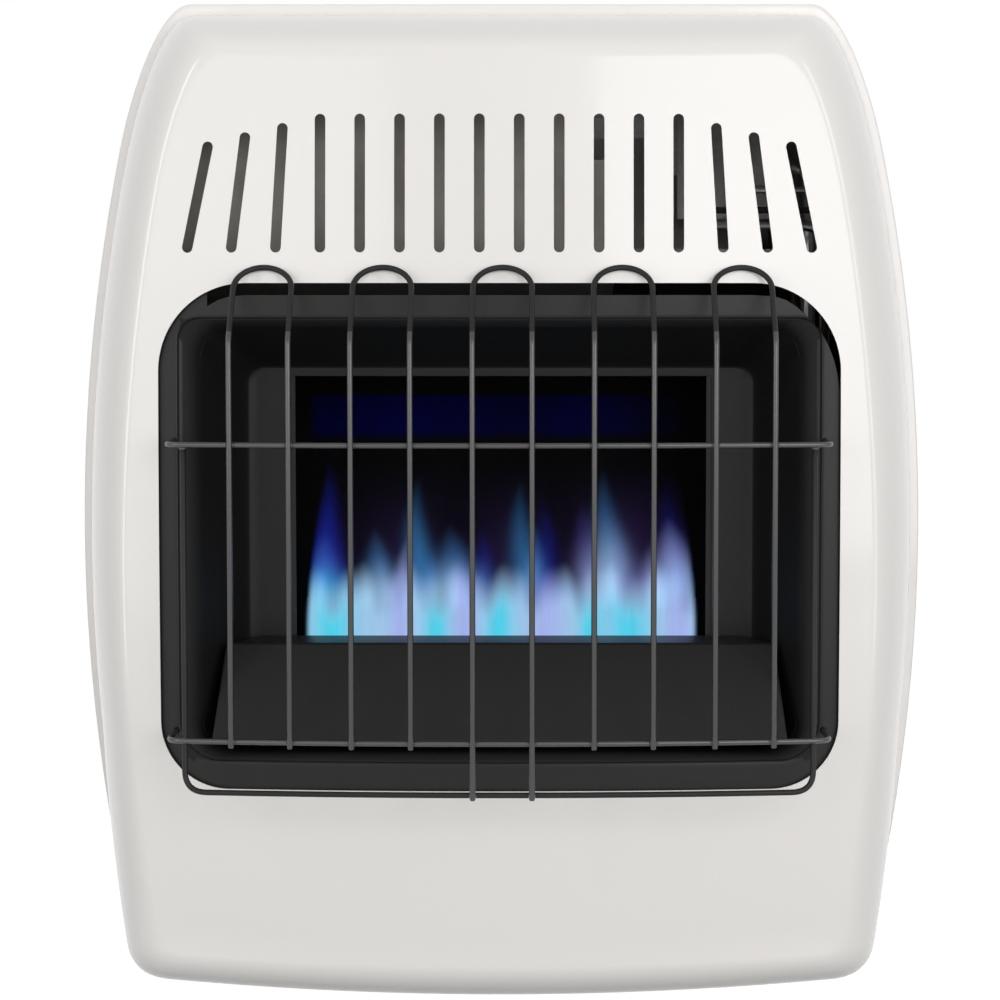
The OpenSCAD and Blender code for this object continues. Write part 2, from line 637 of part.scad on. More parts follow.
module orifice_holder() color("goldenrod") difference() {
  union() {
    block([jet_x + 8, jet_x + 22], [-burner_y - 8, -burner_y + 8], [burner_h - 8, burner_h + 8]);
    block([box_x, jet_x + 22], [-burner_y - 8, -burner_y + 8], [burner_h - 14, burner_h - 12]);
    block([jet_x + 20, jet_x + 22], [-burner_y - 8, -burner_y + 8], [burner_h - 14, burner_h]);
    block([box_x, box_x + 2], [-burner_y - 8, -burner_y + 8], [burner_h - 26, burner_h - 12]);
  }
  bar_x(-burner_y, burner_h, jet_x + 7, jet_x + 15, 2.5);
  upright(jet_x + 15, -burner_y, burner_h - 2, burner_h + 9, 2.5);
}

lead_y = plate_back_y + 14;
pilot_x = 92;
pilot_pitch = 10;
pilot_h = 180;
module pilot_bracket() color("gray") difference() {
  union() {
    block([pilot_x - 8, pilot_x + 24], [lead_y - 7, lead_y + 7.6], [pilot_h, pilot_h + sheet]);
    block([pilot_x - 8, pilot_x + 24], [lead_y + 6.4, lead_y + 7.6], [floor_h + sheet, pilot_h]);
  }
  upright(pilot_x, lead_y, pilot_h - 2, pilot_h + 4, 4 + fit);
  upright(pilot_x + pilot_pitch, lead_y, pilot_h - 2, pilot_h + 4, 3 + fit);
  upright(pilot_x + 2 * pilot_pitch, lead_y, pilot_h - 2, pilot_h + 4, 2.6 + fit);
}
module pilot_burner() color("goldenrod") difference() {
  union() {
    upright(pilot_x, lead_y, pilot_h - 15, pilot_h + 12, 4);
    upright(pilot_x, lead_y, pilot_h - 6, pilot_h, 6, 6);
  }
  upright(pilot_x, lead_y, pilot_h + 2, pilot_h + 13, 3);
  block([pilot_x - 2, pilot_x + 2], [lead_y, lead_y + 8], [pilot_h + 6, pilot_h + 13]);
}
module thermocouple() color("silver") {
  upright(pilot_x + pilot_pitch, lead_y, pilot_h - 8, pilot_h + 8, 3);
  upright(pilot_x + pilot_pitch, lead_y, pilot_h + 8, pilot_h + 16, 2);
}
module electrode() color("white") {
  upright(pilot_x + 2 * pilot_pitch, lead_y, pilot_h - 2, pilot_h + 10, 2.6);
  upright(pilot_x + 2 * pilot_pitch, lead_y, pilot_h + 10, pilot_h + 16, 1);
}

// ---- controls and gas train ----

tray_in_x = [97.5, 180.5];
tray_in_y = [-60.8, -13.2];
tray_top_h = case_top_h - sheet;
module control_tray() color("gainsboro") difference() {
  block([tray_in_x[0] - sheet, tray_in_x[1] + sheet], [tray_in_y[0] - sheet, tray_in_y[1] + sheet],
        [tray_floor_h, tray_top_h]);
  block(tray_in_x, tray_in_y, [tray_floor_h + sheet, tray_top_h + 1]);
  upright(knob_x, knob_axis_y, tray_floor_h - 1, tray_floor_h + 4, bonnet_r + gap);
  upright(igniter_x, knob_axis_y, tray_floor_h - 1, tray_floor_h + 4, igniter_r - 1 + gap);
}

valve_foot_h = valve_top_h - valve_l;
valve_back_y = knob_axis_y + valve_deep / 2;
supply_y = valve_back_y - 7;
supply_h = valve_foot_h + 6;
plunger_r = 5;
valve_front_y = knob_axis_y - valve_deep / 2 - 4;
module gas_valve() color("lightgray") difference() {
  union() {
    block([knob_x - valve_w / 2, knob_x + valve_w / 2],
          [knob_axis_y - valve_deep / 2, valve_back_y], [valve_foot_h, valve_top_h]);
    upright(knob_x, knob_axis_y, valve_top_h, tray_floor_h + sheet, bonnet_r);
    // cover plate on the front, with the round housing of the pressure stage
    block([knob_x - 20, knob_x + 36], [valve_front_y, knob_axis_y - valve_deep / 2],
          [valve_foot_h - 26, valve_foot_h + 32]);
    bar_y(knob_x + 22, valve_foot_h - 4, valve_front_y - 5, valve_front_y, 12);
  }
  upright(knob_x, knob_axis_y, stem_foot_h - 1, tray_floor_h + 4, stem_d / 2 + fit);
  upright(knob_x, knob_axis_y, stem_foot_h - plunger_l - knob_travel - 1, stem_foot_h, plunger_r + fit);
}
module valve_plunger() color("goldenrod")
  upright(knob_x, knob_axis_y, stem_foot_h - plunger_l, stem_foot_h, plunger_r);
module control_stem() color("goldenrod")
  upright(knob_x, knob_axis_y, stem_foot_h, knob_foot_h + 14, stem_d / 2);
module control_knob() color("black") difference() {
  union() {
    upright(knob_x, knob_axis_y, knob_foot_h, knob_foot_h + 4, knob_d / 2);
    upright(knob_x, knob_axis_y, knob_foot_h + 4, knob_foot_h + 9, knob_d / 2 - 2);
    // finger bar across the top, with a pointer end
    block([knob_x - 4, knob_x + 4], [knob_axis_y - knob_d / 2 + 2.6, knob_axis_y + knob_d / 2 - 2.6],
          [knob_foot_h + 9, knob_foot_h + knob_h]);
  }
  upright(knob_x, knob_axis_y, knob_foot_h - 1, knob_foot_h + 14, stem_d / 2);
}
module valve_bracket() color("silver") {
  block([knob_x - 20, knob_x + 20], [back_y - 2, back_y], [valve_foot_h + 4, valve_top_h - 4]);
  block([knob_x - 14, knob_x + 14], [valve_back_y, back_y - 2], [valve_foot_h + 20, valve_foot_h + 22]);
}

button_foot_h = tray_floor_h - 30;
module igniter_body() color("dimgray") difference() {
  union() {
    upright(igniter_x, knob_axis_y, tray_floor_h - igniter_l, tray_floor_h, igniter_r);
    upright(igniter_x, knob_axis_y, tray_floor_h, tray_floor_h + 6, igniter_r - 1);
  }
  upright(igniter_x, knob_axis_y, button_foot_h - button_travel - 1, tray_floor_h + 7, button_d / 2 + fit);
}
module igniter_nut() color("silver") difference() {
  upright(igniter_x, knob_axis_y, tray_floor_h + sheet, tray_floor_h + sheet + 3.5, nut_r, 6);
  upright(igniter_x, knob_axis_y, tray_floor_h, tray_floor_h + 6, igniter_r - 1 + fit);
}
module igniter_button() color("firebrick")
  upright(igniter_x, knob_axis_y, button_foot_h, tray_floor_h + 18, button_d / 2);

regulator_top_h = inlet_h + regulator_l;
module regulator() color("silver") difference() {
  union() {
    upright(inlet_x, -inlet_y, inlet_h, inlet_h + 16, 15.5, 6);
    upright(inlet_x, -inlet_y, inlet_h + 16, inlet_h + 40, regulator_r - 3);
    upright(inlet_x, -inlet_y, inlet_h + 26, inlet_h + 32, regulator_r);
    upright(inlet_x, -inlet_y, inlet_h + 40, regulator_top_h, 9, 6);
  }
  upright(inlet_x, -inlet_y, inlet_h - 1, inlet_h + 14, inlet_r);
}
module regulator_bracket() color("silver") {
  block([inlet_x - 14, inlet_x + 14], [back_y - 2, back_y], [inlet_h + 16, inlet_h + 46]);
  block([inlet_x - 6, inlet_x + 6], [regulator_r - inlet_y + 1, back_y - 2], [inlet_h + 28, inlet_h + 30]);
  block([inlet_x - 6, inlet_x + 6], [regulator_r - inlet_y + gap, regulator_r - inlet_y + 1.5],
        [inlet_h + 20, inlet_h + 30]);
}

module pipe_nut(at, turn, r, l) translate(at) rotate(turn) cylinder(h = l, r = r, $fn = 6);
module inlet_pipe() color("silver") {
  sweep(rounded([[inlet_x, -inlet_y, regulator_top_h], [inlet_x, -inlet_y, supply_h - 40],
                 [inlet_x, supply_y, supply_h], [knob_x + valve_w / 2, supply_y, supply_h]], 14),
        pipe_d / 2, 12);
}
burner_pipe_x = jet_x + 15;
module burner_pipe() color("silver")
  sweep(rounded([[knob_x - 7, knob_axis_y, valve_foot_h], [knob_x - 7, knob_axis_y, valve_foot_h - 30],
                 [knob_x - 7, -burner_y, valve_foot_h - 30], [burner_pipe_x, -burner_y, valve_foot_h - 30],
                 [burner_pipe_x, -burner_y, burner_h + 8]], 14), pipe_d / 2 - 1.5, 12);
module pilot_pipe() color("silver")
  sweep(rounded([[pilot_x, lead_y, pilot_h - 15], [pilot_x, lead_y, floor_h + 5.5],
                 [202, lead_y, floor_h + 5.5], [202, lead_y, valve_foot_h - 10],
                 [knob_x + 9, lead_y, valve_foot_h - 10], [knob_x + 9, lead_y, valve_foot_h + 20],
                 [knob_x + 9, valve_front_y, valve_foot_h + 20]], 7), pilot_pipe_d / 2);
module thermocouple_lead() color("peru")
  sweep(rounded([[pilot_x + pilot_pitch, lead_y, pilot_h - 8],
                 [pilot_x + pilot_pitch, lead_y, floor_h + 11.5],
                 [190, lead_y, floor_h + 11.5], [190, lead_y, valve_foot_h - 22],
                 [knob_x - 7, lead_y, valve_foot_h - 22], [knob_x - 7, lead_y, valve_foot_h + 10],
                 [knob_x - 7, valve_front_y, valve_foot_h + 10]], 7), lead_d / 2);
module ignition_lead() color("firebrick")
  sweep(rounded([[pilot_x + 2 * pilot_pitch, lead_y, pilot_h - 2],
                 [pilot_x + 2 * pilot_pitch, lead_y, floor_h + 18],
                 [172, lead_y, floor_h + 18], [172, lead_y, valve_foot_h - 46],
                 [igniter_x, knob_axis_y, valve_foot_h - 46],
                 [igniter_x, knob_axis_y, tray_floor_h - igniter_l]], 7), lead_d / 2);

// ---- wire guard ----

// the guard is laid out flat, then bowed from side to side as the face is
function bowed(route) = [for (p = route) [p[0], p[1] + p[0] * p[0] / (2 * bow_side_r), p[2]]];
leg_x = hairpin_w / 2;
function hairpin(i) =
  let (xc = (i - 3) * hairpin_pitch + guard_off,
       foot = i == 3 ? frame_foot_h - 2.5 : lower_rail_h - 3.1,
       tip_y = face_y(0, arch_h) - wire_d / 2 - gap - 0.2,
       rise = arch_h - lean_h, back = atan2(tip_y - guard_y, rise),
       up = [0, sin(back), cos(back)], mid = [xc, guard_y, lean_h] + up * (rise / cos(back) - leg_x))
  rounded(concat([[xc - leg_x, guard_y, foot], [xc - leg_x, guard_y, lean_h]],
    [for (k = [0:12]) let (a = 180 - k * 15) mid + leg_x * (cos(a) * [1, 0, 0] + sin(a) * up)],
    [[xc + leg_x, guard_y, lean_h], [xc + leg_x, guard_y, foot]]), 2, 2);
module hairpin_wire(i) color("dimgray") sweep(bowed(hairpin(i)), wire_d / 2);
module guard_hairpin_1() hairpin_wire(1);
module guard_hairpin_2() hairpin_wire(2);
module guard_hairpin_3() hairpin_wire(3);
module guard_hairpin_4() hairpin_wire(4);
module guard_hairpin_5() hairpin_wire(5);
// right half of a wire from its end to the middle, then mirrored
function whole(half) = concat(half,
  [for (i = [len(half) - 2:-1:0]) [-half[i][0], half[i][1], half[i][2]]]);
function half_run(bends, run, y, h) = concat(
  [for (i = [0:len(bends) - 2]) bends[i]], [for (k = [1:8]) [run * (1 - k / 8), y, h]]);
function rail_route(h) = let (x = rail_w / 2, r = 9, y = face_y(0, h) + seat + 3)
  whole(half_run(rounded([[x, y, h], [x, rail_y, h], [0, rail_y, h]], r, 5), x - r, rail_y, h));
module rail_wire(h) color("dimgray") sweep(bowed(rail_route(h)), wire_d / 2);
module guard_upper_rail() rail_wire(upper_rail_h);
module guard_lower_rail() rail_wire(lower_rail_h);
// its legs stand behind the rails
function frame_route() = let (x = frame_w / 2, h = frame_foot_h, top = upper_rail_h - 1.9)
  whole(half_run(rounded([[x, frame_y, top], [x, frame_y, lower_rail_h], [x, rail_y, h], [0, rail_y, h]],
                         frame_bend_r, 6), x - frame_bend_r, rail_y, h));
module guard_frame_wire() color("dimgray") sweep(bowed(frame_route()), wire_d / 2);

from_foot() wall_bracket();
from_foot() wall_spacers();
from_foot() case_back();
from_foot() case_wrap();
from_foot() case_foot();
from_foot() front_panel();
from_foot() surround();
from_foot() firebox_plate();
from_foot() firebox_side_left();
from_foot() firebox_side_right();
from_foot() firebox_back();
from_foot() firebox_floor();
from_foot() firebox_roof();
from_foot() heat_deflector();
from_foot() valve_shield();
from_foot() burner_cover();
from_foot() burner_tube();
from_foot() burner_supports();
from_foot() mixer_tube();
from_foot() orifice_holder();
from_foot() orifice();
from_foot() pilot_bracket();
from_foot() pilot_burner();
from_foot() thermocouple();
from_foot() electrode();
from_foot() control_tray();
from_foot() valve_bracket();
from_foot() gas_valve();
from_foot() valve_plunger();
from_foot() control_stem();
from_foot() control_knob();
from_foot() igniter_body();
from_foot() igniter_nut();
from_foot() igniter_button();
from_foot() regulator();
from_foot() regulator_bracket();
from_foot() inlet_pipe();
from_foot() burner_pipe();
from_foot() pilot_pipe();
from_foot() thermocouple_lead();
from_foot() ignition_lead();
from_foot() guard_hairpin_1();
from_foot() guard_hairpin_2();
from_foot() guard_hairpin_3();
from_foot() guard_hairpin_4();
from_foot() guard_hairpin_5();
from_foot() guard_upper_rail();
from_foot() guard_lower_rail();
from_foot() guard_frame_wire();
from_foot() panel_screws();
from_foot() surround_screws();
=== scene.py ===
# A wall hung gas room heater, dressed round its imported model. Metres, +Z up,
# the room at -Y, and the origin in the middle of the line of wall screws.
import json
import math
import bmesh
import bpy
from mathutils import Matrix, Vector

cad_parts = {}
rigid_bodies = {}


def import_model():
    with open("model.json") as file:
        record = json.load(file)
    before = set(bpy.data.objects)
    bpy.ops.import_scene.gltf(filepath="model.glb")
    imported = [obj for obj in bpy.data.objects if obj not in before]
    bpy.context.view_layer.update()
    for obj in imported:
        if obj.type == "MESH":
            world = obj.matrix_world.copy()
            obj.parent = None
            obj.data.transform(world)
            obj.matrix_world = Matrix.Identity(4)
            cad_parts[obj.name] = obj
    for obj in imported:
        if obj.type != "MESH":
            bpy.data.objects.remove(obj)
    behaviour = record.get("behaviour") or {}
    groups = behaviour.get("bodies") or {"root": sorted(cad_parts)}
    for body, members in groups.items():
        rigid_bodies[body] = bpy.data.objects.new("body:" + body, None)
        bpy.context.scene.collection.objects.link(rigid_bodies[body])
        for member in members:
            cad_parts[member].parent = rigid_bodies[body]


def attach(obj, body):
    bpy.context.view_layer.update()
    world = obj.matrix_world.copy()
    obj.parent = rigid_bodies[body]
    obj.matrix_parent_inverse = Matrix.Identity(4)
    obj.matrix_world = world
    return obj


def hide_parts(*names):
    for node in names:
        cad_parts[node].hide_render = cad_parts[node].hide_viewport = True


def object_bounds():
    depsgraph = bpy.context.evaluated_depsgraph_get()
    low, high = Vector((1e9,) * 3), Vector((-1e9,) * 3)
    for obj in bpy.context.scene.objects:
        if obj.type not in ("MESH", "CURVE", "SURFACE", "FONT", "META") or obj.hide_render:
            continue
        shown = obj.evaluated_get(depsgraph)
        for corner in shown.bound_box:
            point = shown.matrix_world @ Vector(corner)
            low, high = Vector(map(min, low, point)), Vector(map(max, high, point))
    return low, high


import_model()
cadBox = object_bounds()
bpy.ops.object.select_all(action="DESELECT")
root = "heater"
# millimetres from the cabinet's foot up to the origin
originHeight = 500


def place(x, y, h):
    # millimetres, with h measured up from the cabinet's foot
    return Vector((x / 1000, y / 1000, (h - originHeight) / 1000))


def named(name):
    # the object that was just made
    bpy.context.object.name = name
    return bpy.context.object


# ---- shader helpers ----


def setInputs(node, values):
    for label, value in values.items():
        socket = node.inputs[label]
        socket.default_value = (*value, 1) if socket.type == "RGBA" else value


def connect(tree, value, socket):
    # the value is a number, a colour or another node's output
    if isinstance(value, (int, float)):
        socket.default_value = value
    elif isinstance(value, tuple):
        socket.default_value = (*value, 1)
    else:
        tree.links.new(value, socket)


def addMath(tree, operation, a, b, clamp=False):
    node = tree.nodes.new("ShaderNodeMath")
    node.operation = operation
    node.use_clamp = clamp
    connect(tree, a, node.inputs[0])
    connect(tree, b, node.inputs[1])
    return node.outputs[0]


def addNoise(tree, vector, scale, detail, roughness=0.5):
    node = tree.nodes.new("ShaderNodeTexNoise")
    for label, value in (("Vector", vector), ("Scale", scale), ("Detail", detail), ("Roughness", roughness)):
        connect(tree, value, node.inputs[label])
    return node.outputs["Fac"]


def mixColour(tree, fac, a, b, blend="MIX"):
    node = tree.nodes.new("ShaderNodeMix")
    node.data_type = "RGBA"
    node.blend_type = blend
    # sockets 6 and 7 are the two colours, and output 2 is the mixed one
    for i, value in ((0, fac), (6, a), (7, b)):
        connect(tree, value, node.inputs[i])
    return node.outputs[2]


def addTone(tree, colour, value):
    node = tree.nodes.new("ShaderNodeHueSaturation")
    connect(tree, colour, node.inputs["Color"])
    connect(tree, value, node.inputs["Value"])
    return node.outputs[0]


def addRamp(tree, value, start, end, first=0.0, last=1.0, kind="LINEAR"):
    ramp = tree.nodes.new("ShaderNodeMapRange")
    ramp.interpolation_type = kind
    setInputs(ramp, {"From Min": start, "From Max": end, "To Min": first, "To Max": last})
    tree.links.new(value, ramp.inputs["Value"])
    return ramp.outputs[0]


def objectPlace(tree, squeeze=None):
    # the point on the object, with its height squeezed where upright streaks are wanted
    where = tree.nodes.new("ShaderNodeTexCoord").outputs["Object"]
    if squeeze is None:
        return where
    mapping = tree.nodes.new("ShaderNodeMapping")
    mapping.inputs["Scale"].default_value = (1.0, 1.0, squeeze)
    tree.links.new(where, mapping.inputs["Vector"])
    return mapping.outputs[0]


def axisOf(tree, vector, axis):
    parts = tree.nodes.new("ShaderNodeSeparateXYZ")
    tree.links.new(vector, parts.inputs[0])
    return parts.outputs[axis]


def addFade(tree, axis, start, end, low):
    # 1 at the start and low at the end, along one axis of the object
    return addRamp(tree, axisOf(tree, objectPlace(tree), axis), start, end, 1.0, low, "SMOOTHSTEP")


def anyRay(tree, *kinds):
    # 1 for the kinds of ray that are named
    path = tree.nodes.new("ShaderNodeLightPath")
    found = path.outputs[kinds[0]]
    for kind in kinds[1:]:
        found = addMath(tree, "MAXIMUM", found, path.outputs[kind])
    return found


def mixShaders(tree, fac, a, b, target):
    mix = tree.nodes.new("ShaderNodeMixShader")
    for i, value in enumerate((fac, a, b)):
        tree.links.new(value, mix.inputs[i])
    tree.links.new(mix.outputs[0], target)


def newMaterial(name):
    material = bpy.data.materials.new(name)
    material.use_nodes = True
    return material, material.node_tree, material.node_tree.nodes["Principled BSDF"]


# ---- view, light and floor ----
viewSettings = {"lens": 106.56, "sensor": 36, "pitch": 3.87, "at": (0.017, -1.836, -0.104), "shiftX": -0.03,
                "near": 0.05, "far": 60}
lightSettings = {
    "worldStrength": 0.44,
    "floorSize": 30, "floorDrop": 0.12, "floorSeen": 0.8, "floorLift": 0.64, "floorBounce": 0.12,
    # place, aim, size and power
    "lamps": {
        "keyLight": ((1.1, -2.5, 0.3), (0, 0, -0.25), (1.6, 1.6), 27.6),
        "fillLight": ((-1.2, -2.5, 0.1), (0, 0, -0.2), (1.6, 1.8), 13.2),
        "topLight": ((0.2, -0.7, 2.0), (0, -0.1, 0), (1.4, 1.0), 0.4),
        "leftStrip": ((-1.6, -1.15, 0.0), (0, -0.2, -0.2), (0.22, 2.2), 9.0),
        "rightStrip": ((1.6, -1.15, 0.0), (0, -0.2, -0.2), (0.22, 2.2), 6.5),
    },
}


def makeCamera():
    v = viewSettings
    bpy.ops.object.camera_add(location=v["at"], rotation=(math.radians(90 - v["pitch"]), 0, 0))
    camera = bpy.context.object
    camera.data.sensor_width = v["sensor"]
    camera.data.lens = v["lens"]
    camera.data.shift_x = v["shiftX"]
    camera.data.clip_start, camera.data.clip_end = v["near"], v["far"]
    bpy.context.scene.camera = camera


def makeWorld():
    scene = bpy.context.scene
    scene.view_settings.view_transform = "Standard"
    world = bpy.data.worlds.new("studio")
    scene.world = world
    world.use_nodes = True
    tree = world.node_tree
    tree.nodes.clear()
    out = tree.nodes.new("ShaderNodeOutputWorld")
    seen = tree.nodes.new("ShaderNodeBackground")
    lit = tree.nodes.new("ShaderNodeBackground")
    setInputs(seen, {"Color": (1, 1, 1), "Strength": 1.0})
    setInputs(lit, {"Color": (1, 1, 1), "Strength": lightSettings["worldStrength"]})
    rays = anyRay(tree, "Is Camera Ray", "Is Glossy Ray", "Is Transmission Ray")
    mixShaders(tree, rays, lit.outputs[0], seen.outputs[0], out.inputs[0])


def makeFloor():
    s = lightSettings
    bpy.ops.mesh.primitive_plane_add(size=s["floorSize"], location=(0, 0, cadBox[0][2] - s["floorDrop"]))
    floor = named("floor")
    # white where the camera looks, apart from the shadow, and a darker bounce for the heater
    paper, tree, shader = newMaterial("paleFloor")
    setInputs(shader, {"Base Color": [s["floorSeen"]] * 3, "Roughness": 0.9, "Specular IOR Level": 0.1,
                       "Emission Color": (1, 1, 1), "Emission Strength": s["floorLift"]})
    bounce = tree.nodes.new("ShaderNodeBsdfDiffuse")
    setInputs(bounce, {"Color": [s["floorBounce"]] * 3})
    mixShaders(tree, anyRay(tree, "Is Camera Ray", "Is Glossy Ray"), bounce.outputs[0], shader.outputs[0],
               tree.nodes["Material Output"].inputs["Surface"])
    floor.data.materials.append(paper)


def makeLamps():
    for name, (location, target, size, power) in lightSettings["lamps"].items():
        turn = (Vector(target) - Vector(location)).to_track_quat("-Z", "Y").to_euler()
        bpy.ops.object.light_add(type="AREA", location=location, rotation=turn)
        lamp = named(name)
        lamp.data.shape = "RECTANGLE"
        lamp.data.size, lamp.data.size_y = size
        lamp.data.energy = power


makeCamera()
makeWorld()
makeFloor()
makeLamps()
print("stage: camera, light and floor")

# ---- shared effects, one node group each ----
paintEffect = {"driftScale": 5.0, "dustScale": 900.0, "dustFrom": 0.74, "dustColour": (0.45, 0.44, 0.42),
               "peelRoughness": 0.12}
metalEffect = {"squeeze": 0.04, "stainFrom": 0.42, "stainFull": 0.68, "toneSpan": 0.24, "toneLow": 0.88,
               "streakRoughness": 0.2, "stainRoughness": 0.12}


def newGroup(name, inputs):
    # every effect gives a colour, a roughness and a height for the bump
    group = bpy.data.node_groups.new(name, "ShaderNodeTree")
    for label, value in inputs.items():
        kind = "NodeSocketColor" if isinstance(value, tuple) else "NodeSocketFloat"
        socket = group.interface.new_socket(name=label, in_out="INPUT", socket_type=kind)
        socket.default_value = (*value, 1) if isinstance(value, tuple) else value
    for label, kind in (("Colour", "NodeSocketColor"), ("Roughness", "NodeSocketFloat"),
                        ("Height", "NodeSocketFloat")):
        group.interface.new_socket(name=label, in_out="OUTPUT", socket_type=kind)
    start = group.nodes.new("NodeGroupInput")
    end = group.nodes.new("NodeGroupOutput")
    return group, start.outputs, end.inputs


def swing(tree, noise, amount):
    # a noise taken round zero
    return addMath(tree, "MULTIPLY", addMath(tree, "SUBTRACT", noise, 0.5), amount)


def makePaintGroup():
    # sprayed and baked paint: faint tone drift, orange peel and fine dust
    e = paintEffect
    group, given, gives = newGroup("bakedPaint", {
        "Colour": (0.8, 0.8, 0.8), "Drift": 0.03, "Peel Scale": 700.0, "Dust": 0.02, "Roughness": 0.3})
    link = group.links.new
    where = objectPlace(group)
    broad = addNoise(group, where, e["driftScale"], 2.0)
    fine = addNoise(group, where, e["dustScale"], 2.0)
    peel = addNoise(group, where, given["Peel Scale"], 1.5)
    tone = addMath(group, "ADD", swing(group, broad, given["Drift"]), 1.0)
    dust = addMath(group, "MULTIPLY", addMath(group, "GREATER_THAN", fine, e["dustFrom"]), given["Dust"])
    link(mixColour(group, dust, addTone(group, given["Colour"], tone), e["dustColour"]), gives["Colour"])
    wave = swing(group, peel, e["peelRoughness"])
    link(addMath(group, "ADD", given["Roughness"], wave, True), gives["Roughness"])
    link(peel, gives["Height"])
    return group


def makeMetalGroup():
    # bare metal: drawn or rolled streaks, blotches and a little tarnish
    e = metalEffect
    group, given, gives = newGroup("bareMetal", {
        "Colour": (0.6, 0.6, 0.6), "Stain": (0.2, 0.15, 0.1), "Stain Amount": 0.2, "Streak Scale": 400.0,
        "Blotch Scale": 30.0, "Roughness": 0.35})
    link = group.links.new
    streak = addNoise(group, objectPlace(group, e["squeeze"]), given["Streak Scale"], 3.0)
    blotch = addNoise(group, objectPlace(group), given["Blotch Scale"], 4.0, 0.6)
    stain = addRamp(group, blotch, e["stainFrom"], e["stainFull"])
    amount = addMath(group, "MULTIPLY", stain, given["Stain Amount"])
    tone = addMath(group, "ADD", addMath(group, "MULTIPLY", streak, e["toneSpan"]), e["toneLow"])
    link(addTone(group, mixColour(group, amount, given["Colour"], given["Stain"]), tone), gives["Colour"])
    rough = addMath(group, "ADD", given["Roughness"], swing(group, streak, e["streakRoughness"]))
    dull = addMath(group, "MULTIPLY", stain, e["stainRoughness"])
    link(addMath(group, "ADD", rough, dull, True), gives["Roughness"])
    link(streak, gives["Height"])
    return group


paintGroup = makePaintGroup()
metalGroup = makeMetalGroup()


def useGroup(tree, group, values):
    effect = tree.nodes.new("ShaderNodeGroup")
    effect.node_tree = group
    setInputs(effect, values)
    return effect.outputs


def finishMaterial(name, group, values, bump, depth=0.0001, metallic=0.0, specular=0.5,
                   coat=0.0, coatRoughness=0.1, fade=None):
    material, tree, shader = newMaterial(name)
    effect = useGroup(tree, group, values)
    colour = effect["Colour"]
    if fade:
        colour = mixColour(tree, 1.0, colour, addFade(tree, *fade), "MULTIPLY")
    tree.links.new(colour, shader.inputs["Base Color"])
    tree.links.new(effect["Roughness"], shader.inputs["Roughness"])
    if bump:
        relief = tree.nodes.new("ShaderNodeBump")
        setInputs(relief, {"Strength": bump, "Distance": depth})
        tree.links.new(effect["Height"], relief.inputs["Height"])
        tree.links.new(relief.outputs["Normal"], shader.inputs["Normal"])
    setInputs(shader, {"Metallic": metallic, "Specular IOR Level": specular, "Coat Weight": coat,
                       "Coat Roughness": coatRoughness})
    return material


# ---- finishes ----
# colour, drift, peel scale, dust and roughness, then bump, its depth in metres and the specular level
paintLabels = ("Colour", "Drift", "Peel Scale", "Dust", "Roughness")
paints = {
    "whiteEnamel": ((0.84, 0.815, 0.79), 0.02, 420, 0.01, 0.34, 0.05, 0.0002, 0.5),
    "casePaint": ((0.78, 0.77, 0.75), 0.03, 420, 0.02, 0.4, 0.06, 0.0002, 0.5),
    "backSheet": ((0.62, 0.60, 0.58), 0.1, 500, 0.05, 0.6, 0.06, 0.0002, 0.1),
    "blackEnamel": ((0.0158, 0.0154, 0.015), 0.2, 600, 0.02, 0.38, 0.08, 0.0002, 0.2),
    "dishEnamel": ((0.024, 0.0235, 0.023), 0.2, 600, 0.01, 0.5, 0.08, 0.0002, 0.05),
    "coverEnamel": ((0.0145, 0.0142, 0.0139), 0.2, 600, 0.02, 0.42, 0.08, 0.0002, 0.15),
    "wireCoating": ((0.018, 0.018, 0.0185), 0.2, 900, 0.02, 0.3, 0.1, 0.0001, 0.8),
    # a darker copy of the wire coating, painted shade on the guard's arches and frame wire
    "shadedWire": ((0.012, 0.012, 0.0124), 0.2, 900, 0.02, 0.45, 0.1, 0.0001, 0.22),
    "sootedSteel": ((0.004, 0.004, 0.0042), 0.4, 300, 0, 0.75, 0.1, 0.0002, 0.02),
    # the firebox back's sooted steel, which also carries the painted reflection of the flames
    "bluedSteel": ((0.003, 0.003, 0.0033), 0.3, 300, 0, 0.75, 0.1, 0.0002, 0.02),
    "darkPlate": ((0.02, 0.02, 0.019), 0.3, 500, 0.03, 0.5, 0.08, 0.0002, 0.15),
    "darkSleeve": ((0.05, 0.044, 0.04), 0.2, 900, 0.1, 0.6, 0.2, 0.0002, 0.2),
    "ceramic": ((0.86, 0.84, 0.79), 0.05, 300, 0.05, 0.25, 0.03, 0.0001, 0.5),
    "blackPlastic": ((0.022, 0.022, 0.023), 0.15, 1100, 0.06, 0.42, 0.25, 0.0001, 0.5),
    "redPlastic": ((0.50, 0.035, 0.03), 0.05, 500, 0.03, 0.3, 0.05, 0.0001, 0.5),
}
# painted shade: the paint on the dish and on the case's back is darkened where the room's light doesn't reach
paintExtras = {
    "whiteEnamel": {"coat": 0.55, "coatRoughness": 0.09},
    "dishEnamel": {"fade": ("Y", -0.183, -0.164, 0.42)},
    # painted shade on the case back, darker below the slots
    "backSheet": {"fade": ("Z", -0.062, -0.074, 0.03)},
}
